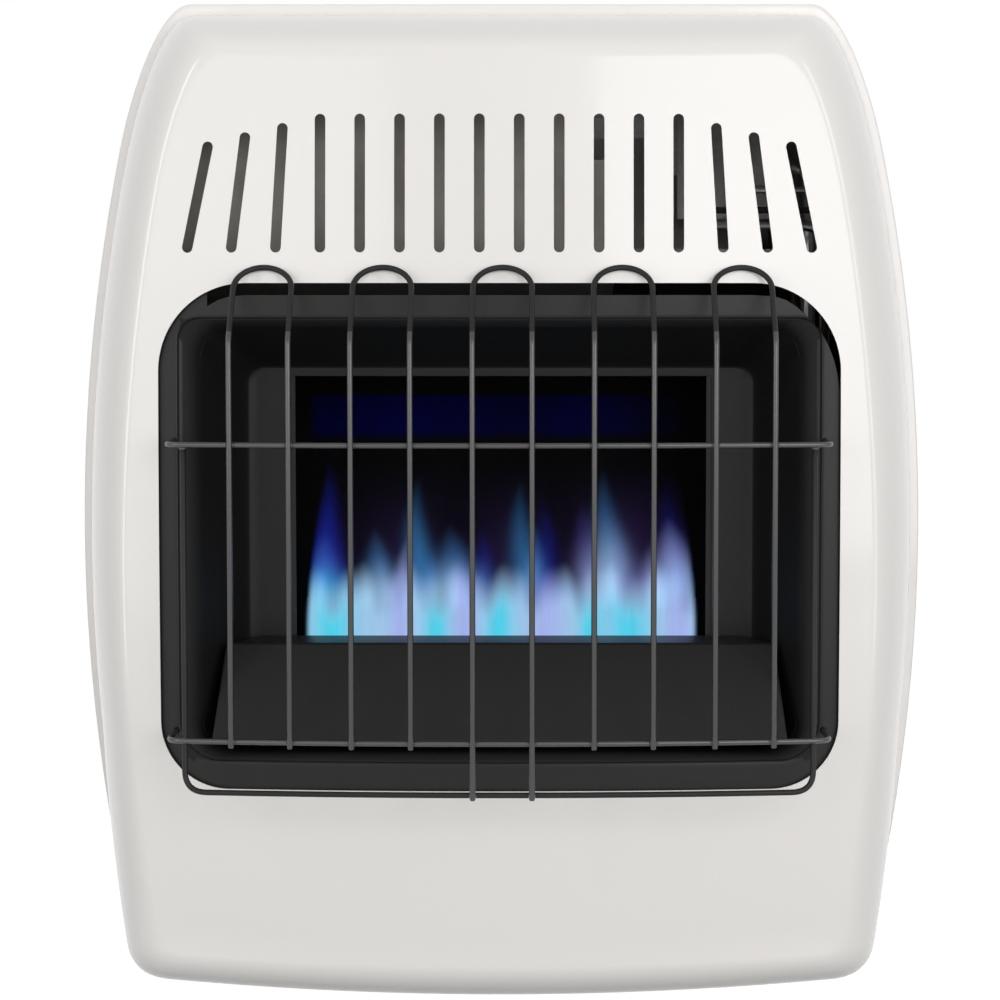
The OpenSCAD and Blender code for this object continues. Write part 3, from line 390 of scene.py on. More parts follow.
# colour, stain, its amount, streak scale, blotch scale and roughness, then bump and metallic
metalLabels = ("Colour", "Stain", "Stain Amount", "Streak Scale", "Blotch Scale", "Roughness")
metals = {
    "deflectorSteel": ((0.40, 0.385, 0.36), (0.24, 0.215, 0.18), 0.4, 260, 22, 0.5, 0.05, 0.6),
    "galvanised": ((0.60, 0.61, 0.62), (0.42, 0.43, 0.44), 0.7, 90, 120, 0.38, 0, 0.95),
    "burnerSteel": ((0.40, 0.38, 0.36), (0.12, 0.08, 0.14), 0.7, 500, 25, 0.4, 0.05, 1),
    "brass": ((0.70, 0.50, 0.22), (0.36, 0.24, 0.10), 0.4, 800, 60, 0.28, 0, 1),
    "castBody": ((0.82, 0.82, 0.80), (0.5, 0.5, 0.49), 0.3, 60, 300, 0.55, 0.15, 0.1),
    "drawnTube": ((0.70, 0.71, 0.72), (0.5, 0.5, 0.5), 0.3, 900, 40, 0.3, 0, 1),
    "zinc": ((0.62, 0.62, 0.63), (0.45, 0.44, 0.40), 0.3, 600, 200, 0.3, 0, 1),
}
# a painted reflection of the blue flames, laid on the firebox back as a blue strip
flameReflection = {"colour": (0.0012, 0.0008, 0.055), "patchScale": 18, "patchGain": 1.2, "patchLow": 0.1,
            # where it fades out: below, above, to the left and to the right
            "edges": (("Z", -0.181, -0.191), ("Z", -0.164, -0.160),
                      ("X", -0.112, -0.119), ("X", 0.040, 0.125))}
spangle = {"Colour": (0.50, 0.51, 0.52), "Stain": (0.36, 0.37, 0.38), "Stain Amount": 0.7,
           "Streak Scale": 90, "Blotch Scale": 120.0}

finishes = {}
for name, (*row, bump, depth, specular) in paints.items():
    finishes[name] = finishMaterial(name, paintGroup, dict(zip(paintLabels, row)), bump, depth,
                                    specular=specular, **paintExtras.get(name, {}))
for name, (*row, bump, metallic) in metals.items():
    finishes[name] = finishMaterial(name, metalGroup, dict(zip(metalLabels, row)), bump, metallic=metallic)


def layOver(tree, fac, colour):
    base = tree.nodes["Principled BSDF"].inputs["Base Color"]
    tree.links.new(mixColour(tree, fac, base.links[0].from_socket, colour), base)


def addFlameReflection(tree):
    # a painted reflection of the blue flames: a strip of the sooted steel tinted blue
    t = flameReflection
    noise = addNoise(tree, objectPlace(tree), t["patchScale"], 2.0)
    strip = addMath(tree, "ADD", addMath(tree, "MULTIPLY", noise, t["patchGain"]), t["patchLow"], True)
    for edge in t["edges"]:
        strip = addMath(tree, "MULTIPLY", strip, addFade(tree, *edge, 0.0))
    layOver(tree, strip, t["colour"])


def addSpangle(tree):
    # bare zinc on the side towards the wall, and inside the dull coat stays, darker lower down with its
    # painted shade
    normal = tree.nodes.new("ShaderNodeTexCoord").outputs["Normal"]
    towardsWall = addMath(tree, "GREATER_THAN", axisOf(tree, normal, "Y"), 0.5)
    layOver(tree, towardsWall, useGroup(tree, metalGroup, spangle)["Colour"])


# the firebox back gets a painted reflection of the flames
addFlameReflection(finishes["bluedSteel"].node_tree)
addSpangle(finishes["backSheet"].node_tree)
print("stage: materials")

# ---- modelling helpers ----


def deselectAll():
    if bpy.context.mode != "OBJECT":
        bpy.ops.object.mode_set(mode="OBJECT")
    bpy.ops.object.select_all(action="DESELECT")


def choose(*pieces):
    deselectAll()
    for piece in pieces:
        piece.select_set(True)
    bpy.context.view_layer.objects.active = pieces[0]


def applyPlace(piece):
    choose(piece)
    bpy.ops.object.transform_apply(location=True, rotation=True, scale=True)


def applyModifier(piece, kind, **values):
    choose(piece)
    modifier = piece.modifiers.new(kind.lower(), kind)
    for label, value in values.items():
        setattr(modifier, label, value)
    bpy.ops.object.modifier_apply(modifier=modifier.name)


def smooth(piece, angle):
    choose(piece)
    bpy.ops.object.shade_smooth_by_angle(angle=math.radians(angle))


def finish(piece, material, replaced=(), body=root):
    piece.data.materials.clear()
    piece.data.materials.append(finishes[material])
    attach(piece, body)
    if replaced:
        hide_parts(*replaced)


def closeMesh():
    bpy.ops.mesh.select_all(action="SELECT")
    bpy.ops.mesh.normals_make_consistent(inside=False)
    bpy.ops.object.mode_set(mode="OBJECT")


def pullRings(name, rings, capStart=False, capEnd=False):
    # an edge loop is drawn out ring by ring, and each point goes to its place on the next ring
    deselectAll()
    bpy.ops.mesh.primitive_circle_add(vertices=len(rings[0]), radius=0.1)
    piece = named(name)
    bpy.ops.object.mode_set(mode="EDIT")
    mesh = bmesh.from_edit_mesh(piece.data)
    spot = mesh.verts.layers.int.new("spot")
    mesh.verts.ensure_lookup_table()
    for i, v in enumerate(mesh.verts):
        v[spot] = i
        v.co = rings[0][i]
    if capStart:
        bpy.ops.mesh.edge_face_add()
        mesh = bmesh.from_edit_mesh(piece.data)
        for face in mesh.faces:
            face.select_set(False)
        for edge in mesh.edges:
            edge.select_set(True)
        bpy.context.tool_settings.mesh_select_mode = (False, True, False)
    extrude = bpy.ops.mesh.extrude_edges_move if capStart else bpy.ops.mesh.extrude_region_move
    for ring in rings[1:]:
        extrude()
        mesh = bmesh.from_edit_mesh(piece.data)
        spot = mesh.verts.layers.int["spot"]
        for v in mesh.verts:
            if v.select:
                v.co = ring[v[spot]]
    if capEnd:
        bpy.ops.mesh.edge_face_add()
    bpy.context.tool_settings.mesh_select_mode = (True, False, False)
    closeMesh()
    return piece


def facePoint(piece, point, direction):
    # turns the shell over if the face nearest to a point looks the other way
    nearest = min(piece.data.polygons, key=lambda f: (f.center - Vector(point)).length)
    if nearest.normal.dot(Vector(direction)) < 0:
        choose(piece)
        bpy.ops.object.mode_set(mode="EDIT")
        bpy.ops.mesh.select_all(action="SELECT")
        bpy.ops.mesh.flip_normals()
        bpy.ops.object.mode_set(mode="OBJECT")


def cutAway(piece, cutters):
    cutter = joinAll("cutter", cutters)
    applyModifier(piece, "BOOLEAN", operation="DIFFERENCE", solver="EXACT", object=cutter)
    choose(cutter)
    bpy.ops.object.delete()


def roundBox(half, top, foot, topR, footR, steps, sides, across):
    # steps in each corner, and stretches along each side and along the top and the foot
    def turn(cx, cy, r, a0):
        angles = [math.radians(a0 + 90 * i / steps) for i in range(steps + 1)]
        return [(cx + r * math.cos(a), cy + r * math.sin(a)) for a in angles]

    def run(p, q, n):
        return [(p[0] + (q[0] - p[0]) * i / n, p[1] + (q[1] - p[1]) * i / n) for i in range(1, n)]

    a = turn(half - footR, foot + footR, footR, -90)
    b = turn(half - topR, top - topR, topR, 0)
    c = turn(topR - half, top - topR, topR, 90)
    d = turn(footR - half, foot + footR, footR, 180)
    return (a + run(a[-1], b[0], sides) + b + run(b[-1], c[0], across) + c
            + run(c[-1], d[0], sides) + d + run(d[-1], a[0], across))


def prism(name, outline, y0, y1):
    rings = [[place(x, y, h) for x, h in outline] for y in (y0, y1)]
    return pullRings(name, rings, capStart=True, capEnd=True)


def box(name, x, y, h, bevel, segments=2):
    deselectAll()
    low, high = place(x[0], y[0], h[0]), place(x[1], y[1], h[1])
    bpy.ops.mesh.primitive_cube_add(size=1, location=(low + high) / 2, scale=high - low)
    piece = named(name)
    applyPlace(piece)
    applyModifier(piece, "BEVEL", width=bevel / 1000, segments=segments, limit_method="ANGLE")
    return piece


def rod(name, start, end, radius, vertices):
    deselectAll()
    axis = end - start
    bpy.ops.mesh.primitive_cylinder_add(vertices=vertices, radius=radius / 1000, depth=axis.length,
                                        location=(start + end) / 2,
                                        rotation=axis.to_track_quat("Z", "Y").to_euler())
    piece = named(name)
    applyPlace(piece)
    return piece


def joinAll(name, pieces):
    choose(*pieces)
    bpy.ops.object.join()
    return named(name)


# ---- cabinet outlines, in millimetres ----
cabinet = {
    "width": 498, "height": 570, "caseDepth": 75, "panelDepth": 125, "sheet": 1.2, "rim": 8, "rimReturn": 12,
    "sideR": 1100, "footR": 3000, "bowSideR": 1300, "bowRiseR": 2300, "shoulder": 35, "shoulderTop": 32,
    # how far in the straight top ends, the foot's height, and the size of the lower corners
    "rimCorners": (65.5, 10, 20), "wallCorners": (69, 10.8, 22), "faceCorners": (99, 22, 14),
}
rimY = -cabinet["caseDepth"]
crownY = rimY - cabinet["panelDepth"]
bowH = cabinet["height"] * 0.456
wideH = cabinet["height"] * 0.4544


def sideX(half, mid, r, h):
    return half - (h - mid) ** 2 / (2 * r)


def bezier(p, n):
    line = []
    for t in (i / n for i in range(n + 1)):
        weights = ((1 - t) ** 3, 3 * t * (1 - t) ** 2, 3 * t * t * (1 - t), t ** 3)
        line.append(tuple(sum(w * q[k] for w, q in zip(weights, p)) for k in (0, 1)))
    return line


def cabinetLine(half, mid, r, top, topX, foot, corner):
    # bowed sides, a nearly flat foot and top, and a curve drawn through each corner
    h1, h2 = top - 85, foot + corner
    x1, x2 = sideX(half, mid, r, h1), sideX(half, mid, r, h2)
    footX = x2 - corner
    up, low = -(h1 - mid) / r, (mid - h2) / r
    footH = foot + footX ** 2 / (2 * cabinet["footR"])
    line = [(footX * i / 12, foot + (footX * i / 12) ** 2 / (2 * cabinet["footR"])) for i in range(12)]
    line += bezier([(footX, footH), (footX + corner * 0.55, footH + 1),
                    (x2 - low * corner * 0.5, h2 - corner * 0.5), (x2, h2)], 12)
    line += [(sideX(half, mid, r, h), h) for h in (h2 + (h1 - h2) * i / 26 for i in range(1, 26))]
    line += bezier([(x1, h1), (x1 + 42 * up, h1 + 42), (topX + 16.3, top), (topX, top)], 18)
    line += [(topX * (1 - i / 10), top) for i in range(1, 10)]
    return line + [(0, top)] + [(-x, h) for x, h in reversed(line[1:])]


def rimLine():
    topIn, foot, corner = cabinet["rimCorners"]
    return cabinetLine(cabinet["width"] / 2, wideH, cabinet["sideR"], cabinet["height"],
                       cabinet["width"] / 2 - topIn, foot, corner)


def wallLine(corners=cabinet["wallCorners"]):
    topIn, foot, corner = corners
    return cabinetLine(cabinet["width"] / 2 - cabinet["rim"], wideH, cabinet["sideR"],
                       cabinet["height"] - cabinet["rim"], cabinet["width"] / 2 - topIn, foot, corner)


def faceLine():
    topIn, foot, corner = cabinet["faceCorners"]
    half = cabinet["width"] / 2 - cabinet["rim"] - cabinet["shoulder"]
    return cabinetLine(half, wideH - 27, cabinet["sideR"] + 135,
                       cabinet["height"] - cabinet["rim"] - cabinet["shoulderTop"],
                       cabinet["width"] / 2 - topIn, foot, corner)


def faceY(x, h):
    return crownY + x * x / (2 * cabinet["bowSideR"]) + (h - bowH) ** 2 / (2 * cabinet["bowRiseR"])


def mixed(p, q, t):
    return (p[0] + (q[0] - p[0]) * t, p[1] + (q[1] - p[1]) * t)


def thicken(piece):
    # a skin becomes sheet metal, from its outer face inwards
    applyModifier(piece, "SOLIDIFY", thickness=cabinet["sheet"] / 1000, offset=-1, use_even_offset=True)


# ---- front panel ----
frontPanel = {
    "window": {"half": 190.5, "top": 405.3, "foot": 121.6, "topR": 49, "footR": 38},
    "slots": {"width": 6, "length": 76.8, "foot": 422.1, "straight": 10, "pitch": 22.1, "fan": 3,
              "fanPitch": 24.8, "fanDraw": 3.8, "fanDrop": 5},
    # the rim's flat: depth behind its front, and how far along it is from the edge to the walls
    "rimSteps": [(2.0, 0.0), (0.95, 0.035), (0.3, 0.12), (0.0, 0.26), (0.0, 0.6), (0.0, 0.82), (0.2, 0.87),
                 (0.85, 0.91), (1.0, 0.95), (0.6, 0.985)],
    # the walls' corners as the shoulder begins
    "frontCorners": (69, 0, 26),
    # degrees round the shoulder, from the walls to the face, and how much squarer it is at the foot
    "shoulderSteps": (1, 3, 6, 10, 15, 21, 27, 33, 39, 45, 51, 57, 63, 69, 75, 80, 85, 90), "tight": 0.8,
    "tightBelow": 150,
    # shares of the way from the face's middle to its edge
    "faceSteps": (0.94, 0.87, 0.79, 0.7, 0.6, 0.5, 0.4, 0.3, 0.2, 0.1, 0.03),
    "cutY": (-140, -215),
}


def slotOutline(a, b, r):
    # half a circle round each end of the slot
    lean = math.atan2(b[1] - a[1], b[0] - a[0])
    line = []
    for middle, first in ((b, -90), (a, 90)):
        angles = [lean + math.radians(first + 15 * i) for i in range(13)]
        line += [(middle[0] + r * math.cos(t), middle[1] + r * math.sin(t)) for t in angles]
    return line


def slotEnds():
    s = frontPanel["slots"]
    r = s["width"] / 2
    foot, top = s["foot"] + r, s["foot"] + s["length"] - r
    edge = (s["straight"] - 1) / 2 * s["pitch"]
    ends = [((i * s["pitch"] - edge, foot), (i * s["pitch"] - edge, top)) for i in range(s["straight"])]
    for side in (-1, 1):
        for j in range(1, s["fan"] + 1):
            ends.append(((side * (edge + j * s["fanPitch"]), foot),
                         (side * (edge + j * (s["fanPitch"] - s["fanDraw"])), top - j * s["fanDrop"])))
    return ends


def makeFrontPanel():
    p = frontPanel
    rim, wall, front, face = rimLine(), wallLine(), wallLine(p["frontCorners"]), faceLine()
    rings = []

    def add(points):
        rings.append([place(*q) for q in points])

    # the rim's return, its rounded edge, its flat and the crease at the foot of the walls
    add([(x, rimY + cabinet["rimReturn"], h) for x, h in rim])
    add([(x, rimY + 4, h) for x, h in rim])
    for depth, t in p["rimSteps"]:
        flat = [mixed(a, b, t) for a, b in zip(rim, wall)]
        add([(x, rimY + depth, h) for x, h in flat])
    # just off the crease, still on the rim's own outline
    add([(x, rimY - 1.2, h) for x, h in wall])
    for a in p["shoulderSteps"]:
        c, s = math.cos(math.radians(a)), math.sin(math.radians(a))
        ring = []
        for w, f in zip(front, face):
            k = p["tight"] * max(0, 1 - w[1] / p["tightBelow"])
            x, h = mixed(w, f, 1 - c)
            ring.append((x, rimY + (faceY(*f) - rimY) * (k + (1 - k) * s), h))
        add(ring)
    for t in p["faceSteps"]:
        add([(x, faceY(x, h), h) for x, h in (mixed((0, bowH), f, t) for f in face)])
    panel = pullRings("frontCover", rings, capEnd=True)
    facePoint(panel, place(0, faceY(0, bowH), bowH), (0, -1, 0))
    thicken(panel)
    w = p["window"]
    opening = roundBox(w["half"], w["top"], w["foot"], w["topR"], w["footR"], 20, 2, 2)
    cutters = [prism("windowCut", opening, *p["cutY"])]
    for a, b in slotEnds():
        cutters.append(prism("slotCut", slotOutline(a, b, p["slots"]["width"] / 2), *p["cutY"]))
    cutAway(panel, cutters)
    smooth(panel, 28)
    finish(panel, "whiteEnamel", ["front_panel"])


makeFrontPanel()
print("stage: front panel")

# ---- surround: the dark dished frame behind the window ----
surround = {
    # half width, top and foot of the mouth and of the open rear
    "mouth": (179.7, 385.8, 137.3), "rear": (143, 352.3, 146.3), "seat": 3.2, "backY": -112.2,
    "railX": 182, "railH": (317, 154), "railHoleR": 1.9,
    # the section: what is added to the half width, top and foot of the window, the mouth or the rear,
    # then the upper and lower corners, and the depth behind the bowed face and the seat
    "flangeRows": [(8, 8, -8, 57, 46, 0)],
    "lipRows": [(5, 5, -5, 20, 27, 0), (2, 2, -2, 14, 24, 0), (1.1, 1.1, -1.1, 13.1, 23.1, 0.1),
                (0.4, 0.4, -0.4, 12.4, 22.4, 0.5), (0, 0, 0, 12, 22, 1.3), (-0.5, -0.3, 0.2, 12.4, 21.8, 2.2),
                (-2.2, -1, 0.8, 13.8, 21, 2.8), (-4.68, -2, 1.6, 16, 20, 4.2),
                (-7.254, -3.1, 2.3, 17.2, 19, 6.6), (-9.36, -4, 3, 18, 18, 10),
                (-10.881, -4.7, 3.4, 17.6, 17.4, 15)],
    # the same, with y itself at the end
    "wallRows": [(-11.7, -5.1, 3.7, 17, 17, -168), (-17.5, -11.8, 4.5, 16, 15, -151)],
    "rearRows": [(13.3, 14.9, -3.5, 14.4, 12, -134), (8.4, 9.2, -2.8, 13.2, 9.5, -120.5),
                 (7.2, 7.8, -2.5, 12.6, 8.8, -117.4), (5.6, 6.5, -2, 11.6, 7.8, -115),
                 (3.8, 5.1, -1.2, 10.2, 6.4, -113.1), (1.8, 4.1, -0.3, 9, 5, -112.2),
                 (-4, 2.8, 4, 7, 4, -112.2), (-20, 0, 12, 2, 2, -112.2)],
    # the flange's upper edge, which leaves an air gap below the panel
    "gapEdge": [(-163.0, 392.3), (-157, 395.8), (-150, 397.9), (-141, 398.6), (0, 398.6), (141, 398.6),
                (153.2, 397.9), (159.9, 395.8), (165.7, 392.1), (172.3, 385.9), (179.1, 378.7),
                (183.9, 370), (187.2, 361.5), (188.9, 353.8), (190.6, 342)],
}


def makeSurround():
    s, w = surround, frontPanel["window"]
    half, top, foot = s["mouth"]
    rings = []

    def addRows(base, rows, follow=False):
        for x0, h1, h0, topR, footR, y in rows:
            outline = roundBox(base[0] + x0, base[1] + h1, base[2] + h0, topR, footR, 14, 14, 24)
            rings.append([place(x, faceY(x, h) + s["seat"] + y if follow else y, h) for x, h in outline])

    addRows((w["half"], w["top"], w["foot"]), s["flangeRows"], True)
    addRows(s["mouth"], s["lipRows"], True)
    addRows(s["mouth"], s["wallRows"])
    addRows(s["rear"], s["rearRows"])
    dish = pullRings("surroundDish", rings)
    facePoint(dish, place(half + 4, faceY(half, 260) + s["seat"], 260), (0, -1, 0))
    thicken(dish)
    edge = s["gapEdge"]
    cutters = [prism("gapCut", [*edge, (215, 342), (215, 440), (edge[0][0], 440)], crownY + 45, crownY - 5)]
    for side in (-1, 1):
        for h in s["railH"]:
            cutters.append(rod("railHole", place(side * s["railX"], crownY - 5, h),
                               place(side * s["railX"], crownY + 40, h), s["railHoleR"], 20))
    cutAway(dish, cutters)
    smooth(dish, 28)
    finish(dish, "blackEnamel", ["surround"])
    # the hollow is duller and darkened deeper in by painted shade, and its rear rim is as the burner cover
    dish.data.materials.append(finishes["dishEnamel"])
    dish.data.materials.append(finishes["coverEnamel"])
    for face in dish.data.polygons:
        x, h = abs(face.center.x) * 1000, face.center.z * 1000 + originHeight
        if x < half - 1.5 and foot + 0.6 < h < top - 0.8:
            face.material_index = 2 if face.center.y * 1000 > s["backY"] - cabinet["sheet"] else 1


makeSurround()
print("stage: surround")

# ---- burner cover ----
coverSizes = {"top": 199.9, "foot": 146.3, "topW": 315, "footW": 325, "backW": 282, "shelf": 37.8, "lean": 36,
              "noseRise": 1.5, "fold": 1.6, "corner": 8, "middle": (0, -150, 172)}


def makeBurnerCover():
    c = coverSizes
    back, lip = surround["backY"], surround["backY"] - c["shelf"]
    middle = place(*c["middle"])
    deselectAll()
    bpy.ops.mesh.primitive_cube_add(size=1, location=middle)
    cover = named("burnerCover")
    applyPlace(cover)
    # y, height and half width of each corner of the cube, by whether it is upper and near the room
    corners = {(False, False): (back, c["foot"], c["backW"] / 2),
               (False, True): (lip - c["lean"], c["foot"] + c["noseRise"], c["footW"] / 2),
               (True, True): (lip, c["top"], c["topW"] / 2),
               (True, False): (back, c["top"], c["backW"] / 2)}
    for v in cover.data.vertices:
        y, h, half = corners[(v.co.z > middle.z, v.co.y < middle.y)]
        v.co = place(half if v.co.x > 0 else -half, y, h)
    bpy.ops.object.mode_set(mode="EDIT")
    mesh = bmesh.from_edit_mesh(cover.data)
    # the two lower side folds first, then every fold that isn't at the open back
    for edge in mesh.edges:
        a, b = (v.co for v in edge.verts)
        edge.select_set(abs(a.x - b.x) < 0.01 and a.z < middle.z and b.z < middle.z and abs(a.y - b.y) > 0.02)
    bpy.ops.mesh.bevel(offset=c["corner"] / 1000, segments=6, affect="EDGES")
    bpy.ops.mesh.select_all(action="DESELECT")
    mesh = bmesh.from_edit_mesh(cover.data)
    backY = place(0, back, 0).y - 0.0005
    for face in mesh.faces:
        face.select_set(all(v.co.y > backY for v in face.verts))
    bpy.ops.mesh.delete(type="FACE")
    mesh = bmesh.from_edit_mesh(cover.data)
    for edge in mesh.edges:
        edge.select_set(len(edge.link_faces) == 2 and edge.calc_face_angle() > math.radians(30))
    bpy.ops.mesh.bevel(offset=c["fold"] / 1000, segments=4, affect="EDGES")
    closeMesh()
    facePoint(cover, place(0, -132, c["top"]), (0, 0, 1))
    thicken(cover)
    smooth(cover, 30)
    finish(cover, "coverEnamel", ["burner_cover"])


makeBurnerCover()
print("stage: burner cover")

# ---- wire guard ----
guard = {"wire": 1.6, "wireSides": 16, "tip": 0.48, "weld": 0.0019, "step": 3.3, "pitch": 66.2,
         "width": 32.4, "aside": 1.9, "y": -236, "leanH": 374.3, "archH": 413.8, "upperRail": 317,
         "lowerRail": 154, "legDrop": 3.1, "middleDrop": 2.5, "hookBack": 6.2, "railHalf": 182,
         "frameHalf": 173, "frameFoot": 125.7, "frameBend": 12, "bowR": 1300}


def bowed(route):
    # the whole guard follows the face's bow from side to side
    return [Vector((p[0], p[1] + p[0] ** 2 / (2 * guard["bowR"]), p[2])) for p in route]


def rounded(points, r, n):
    route = []
    for i, p in enumerate(points):
        p = Vector(p)
        if i in (0, len(points) - 1):
            route.append(p)
            continue
        a = (Vector(points[i - 1]) - p).normalized()
        b = (Vector(points[i + 1]) - p).normalized()
        for k in range(n + 1):
            t = k / n
            route.append((1 - t) ** 2 * (p + r * a) + 2 * (1 - t) * t * p + t * t * (p + r * b))
    return route


def makeWire(name, route, material, node):
    # a bar drawn along a route, a little thinner at its very ends
    radius, sides, tip, end = guard["wire"], guard["wireSides"], guard["tip"], len(route) - 1
    first, last = (route[1] - route[0]).normalized(), (route[-2] - route[-1]).normalized()
    stations = [(route[0], radius - tip, 0), (route[0] + first * tip, radius, 0)]
    stations += [(route[i], radius, i) for i in range(1, end)]
    stations += [(route[-1] + last * tip, radius, end), (route[-1], radius - tip, end)]
    angles = [2 * math.pi * j / sides for j in range(sides)]
    side, rings = None, []
    for p, r, i in stations:
        along = (route[min(i + 1, end)] - route[max(i - 1, 0)]).normalized()
        if side is None:
            side = along.cross(Vector((0, 0, 1)) if abs(along.z) < 0.9 else Vector((1, 0, 0))).normalized()
        else:
            side = (side - side.dot(along) * along).normalized()
        other = along.cross(side)
        rings.append([place(*(p + r * (math.cos(a) * side + math.sin(a) * other))) for a in angles])
    wire = pullRings(name, rings, capStart=True, capEnd=True)
    smooth(wire, 50)
    finish(wire, material, [node])
    return wire


def hairpinRoute(i):
    g = guard
    leg = g["width"] / 2
    xc = (i - 3) * g["pitch"] + g["aside"]
    foot = g["frameFoot"] - g["middleDrop"] if i == 3 else g["lowerRail"] - g["legDrop"]
    tipY = faceY(0, g["archH"]) - g["wire"] - 0.5
    rise = g["archH"] - g["leanH"]
    back = math.atan2(tipY - g["y"], rise)
    up = Vector((0, math.sin(back), math.cos(back)))
    mid = Vector((xc, g["y"], g["leanH"])) + up * (rise / math.cos(back) - leg)
    arch = []
    for k in range(25):
        a = math.radians(180 - k * 7.5)
        arch.append(mid + leg * (math.cos(a) * Vector((1, 0, 0)) + math.sin(a) * up))
    lower = rounded([(xc - leg, g["y"], foot), (xc - leg, g["y"], g["leanH"]), arch[0]], 5, 5)[:-1]
    upper = [Vector((2 * xc - p.x, p.y, p.z)) for p in reversed(lower)]
    return bowed(lower + arch + upper)


def spread(start, end, n):
    return [Vector(start).lerp(Vector(end), i / n) for i in range(1, n)]


def makeGuard():
    g = guard
    crossings = []
    railY = g["y"] + g["step"]
    for i in range(1, 6):
        wire = makeWire("guardHairpin%d" % i, hairpinRoute(i), "wireCoating", "guard_hairpin_%d" % i)
        # the arches above the lean get the darker copy of the coating, as painted shade
        wire.data.materials.append(finishes["shadedWire"])
        for face in wire.data.polygons:
            face.material_index = int(face.center.z > place(0, 0, g["leanH"] + 8).z)
        for side in (-1, 1):
            x = (i - 3) * g["pitch"] + g["aside"] + side * g["width"] / 2
            y = g["y"] + g["step"] / 2
            crossings += [(x, y, g["upperRail"]), (x, y, g["lowerRail"])]
            if i == 3:
                crossings.append((x, y, g["frameFoot"]))
    for name, h in (("Upper", g["upperRail"]), ("Lower", g["lowerRail"])):
        x = g["railHalf"]
        y = faceY(0, h) + g["hookBack"]
        bends = rounded([(-x, y, h), (-x, railY, h), (x, railY, h), (x, y, h)], 9, 10)
        route = bowed(bends[:12] + spread(bends[11], bends[12], 24) + bends[12:])
        makeWire("guardRail" + name, route, "wireCoating", "guard_%s_rail" % name.lower())
    x, y, top = g["frameHalf"], railY + g["step"], g["upperRail"] - 1.9
    low, foot = g["lowerRail"], g["frameFoot"]
    bends = rounded([(-x, y, top), (-x, y, low), (-x, railY, foot),
                     (x, railY, foot), (x, y, low), (x, y, top)], g["frameBend"], 10)
    route = bowed(bends[:23] + spread(bends[22], bends[23], 24) + bends[23:])
    # painted shade: the frame wire takes the darker copy of the coating
    makeWire("guardFrameWire", route, "shadedWire", "guard_frame_wire")
    for side in (-1, 1):
        crossings.append((side * x, y - g["step"] / 2, g["lowerRail"]))
        crossings.append((side * x, y - g["step"] / 2, g["upperRail"] - 1.2))
    # a squashed bead of weld in each crossing, one bead copied
    deselectAll()
    bpy.ops.mesh.primitive_uv_sphere_add(segments=12, ring_count=8, radius=g["weld"])
    bead = bpy.context.object
    bead.scale = (1.25, 0.55, 1.0)
    applyPlace(bead)
    beads = []
    for x, y, h in bowed(crossings):
        copy = bead.copy()
        copy.data = bead.data.copy()
        bpy.context.collection.objects.link(copy)
        copy.location = place(x, y, h)
        beads.append(copy)
    choose(bead)
    bpy.ops.object.delete()
    welds = joinAll("guardWelds", beads)
    applyPlace(welds)
    smooth(welds, 180)
    finish(welds, "wireCoating")


makeGuard()
print("stage: guard")

# ---- knob and button ----
controls = {
    "knobX": 125, "axisY": -38, "knobFoot": 535.8, "knobR": 17, "gripR": 15, "gripDeep": 0.6, "points": 96,
    "barHalf": 3.9, "barReach": 14.2, "barFoot": 8.5, "barRise": 11.5, "knobTop": 555.8,
    "buttonX": 163, "buttonFoot": 500.3, "buttonTop": 548.3, "buttonR": 6,
}


def turned(name, x, y, profile, points=48, grip=(), gripDeep=0.0):
    # a turned piece; the rings named by grip are drawn in at every other pair of points
    rings = []
    for k, (r, h) in enumerate(profile):
        ring = []
        for i in range(points):
            a = 2 * math.pi * i / points
            q = r - (gripDeep if k in grip and i % 4 < 2 else 0)
            ring.append(place(x + q * math.cos(a), y + q * math.sin(a), h))
        rings.append(ring)
    return pullRings(name, rings, capStart=True, capEnd=True)


def makeControls():
    c = controls
    x, y, foot, r, g = c["knobX"], c["axisY"], c["knobFoot"], c["knobR"], c["gripR"]
    skirt = turned("controlKnob", x, y, [
        (r - 1.2, foot), (r - 0.3, foot + 0.3), (r, foot + 1), (r, foot + 3.1), (r - 0.4, foot + 3.8),
        (g, foot + 4.2), (g, foot + 7.8), (g - 0.5, foot + 8.6), (g - 1.5, foot + 9), (g - 6, foot + 9.1)],
        c["points"], (5, 6, 7), c["gripDeep"])
    smooth(skirt, 25)
    bar = box("fingerBar", (x - c["barHalf"], x + c["barHalf"]), (y - c["barReach"], y + c["barReach"]),
              (foot + c["barFoot"], c["knobTop"]), 1.5, 4)
    for v in bar.data.vertices:
        # slimmer towards its top, and drawn to a point at the room's end
        rise = (v.co.z - place(0, 0, foot + c["barFoot"]).z) * 1000 / c["barRise"]
        reach = max(0.0, (place(0, y, 0).y - v.co.y) * 1000 / c["barReach"])
        v.co.x = x / 1000 + (v.co.x - x / 1000) * (1 - 0.28 * rise) * (1 - 0.3 * reach ** 3)
    smooth(bar, 25)
    knob = joinAll("controlKnob", [skirt, bar])
    finish(knob, "blackPlastic", ["control_knob"], body="knob")
    pointer = box("knobPointer", (x - 0.6, x + 0.6), (y - c["barReach"] + 1.8, y - 3),
                  (c["knobTop"] - 0.6, c["knobTop"] + 0.12), 0.15)
    finish(pointer, "ceramic", body="knob")
    t, b = c["buttonTop"], c["buttonR"]
    button = turned("igniterButton", c["buttonX"], y, [
        (b - 0.5, c["buttonFoot"]), (b, c["buttonFoot"] + 0.5), (b, t - 2.4), (b - 0.25, t - 1.5),
        (b - 0.9, t - 0.8), (b - 2, t - 0.45), (b - 3.6, t - 0.5), (b - 4.8, t - 0.7)])
    smooth(button, 35)
    finish(button, "redPlastic", ["igniter_button"], body="button")


makeControls()
print("stage: knob and button")

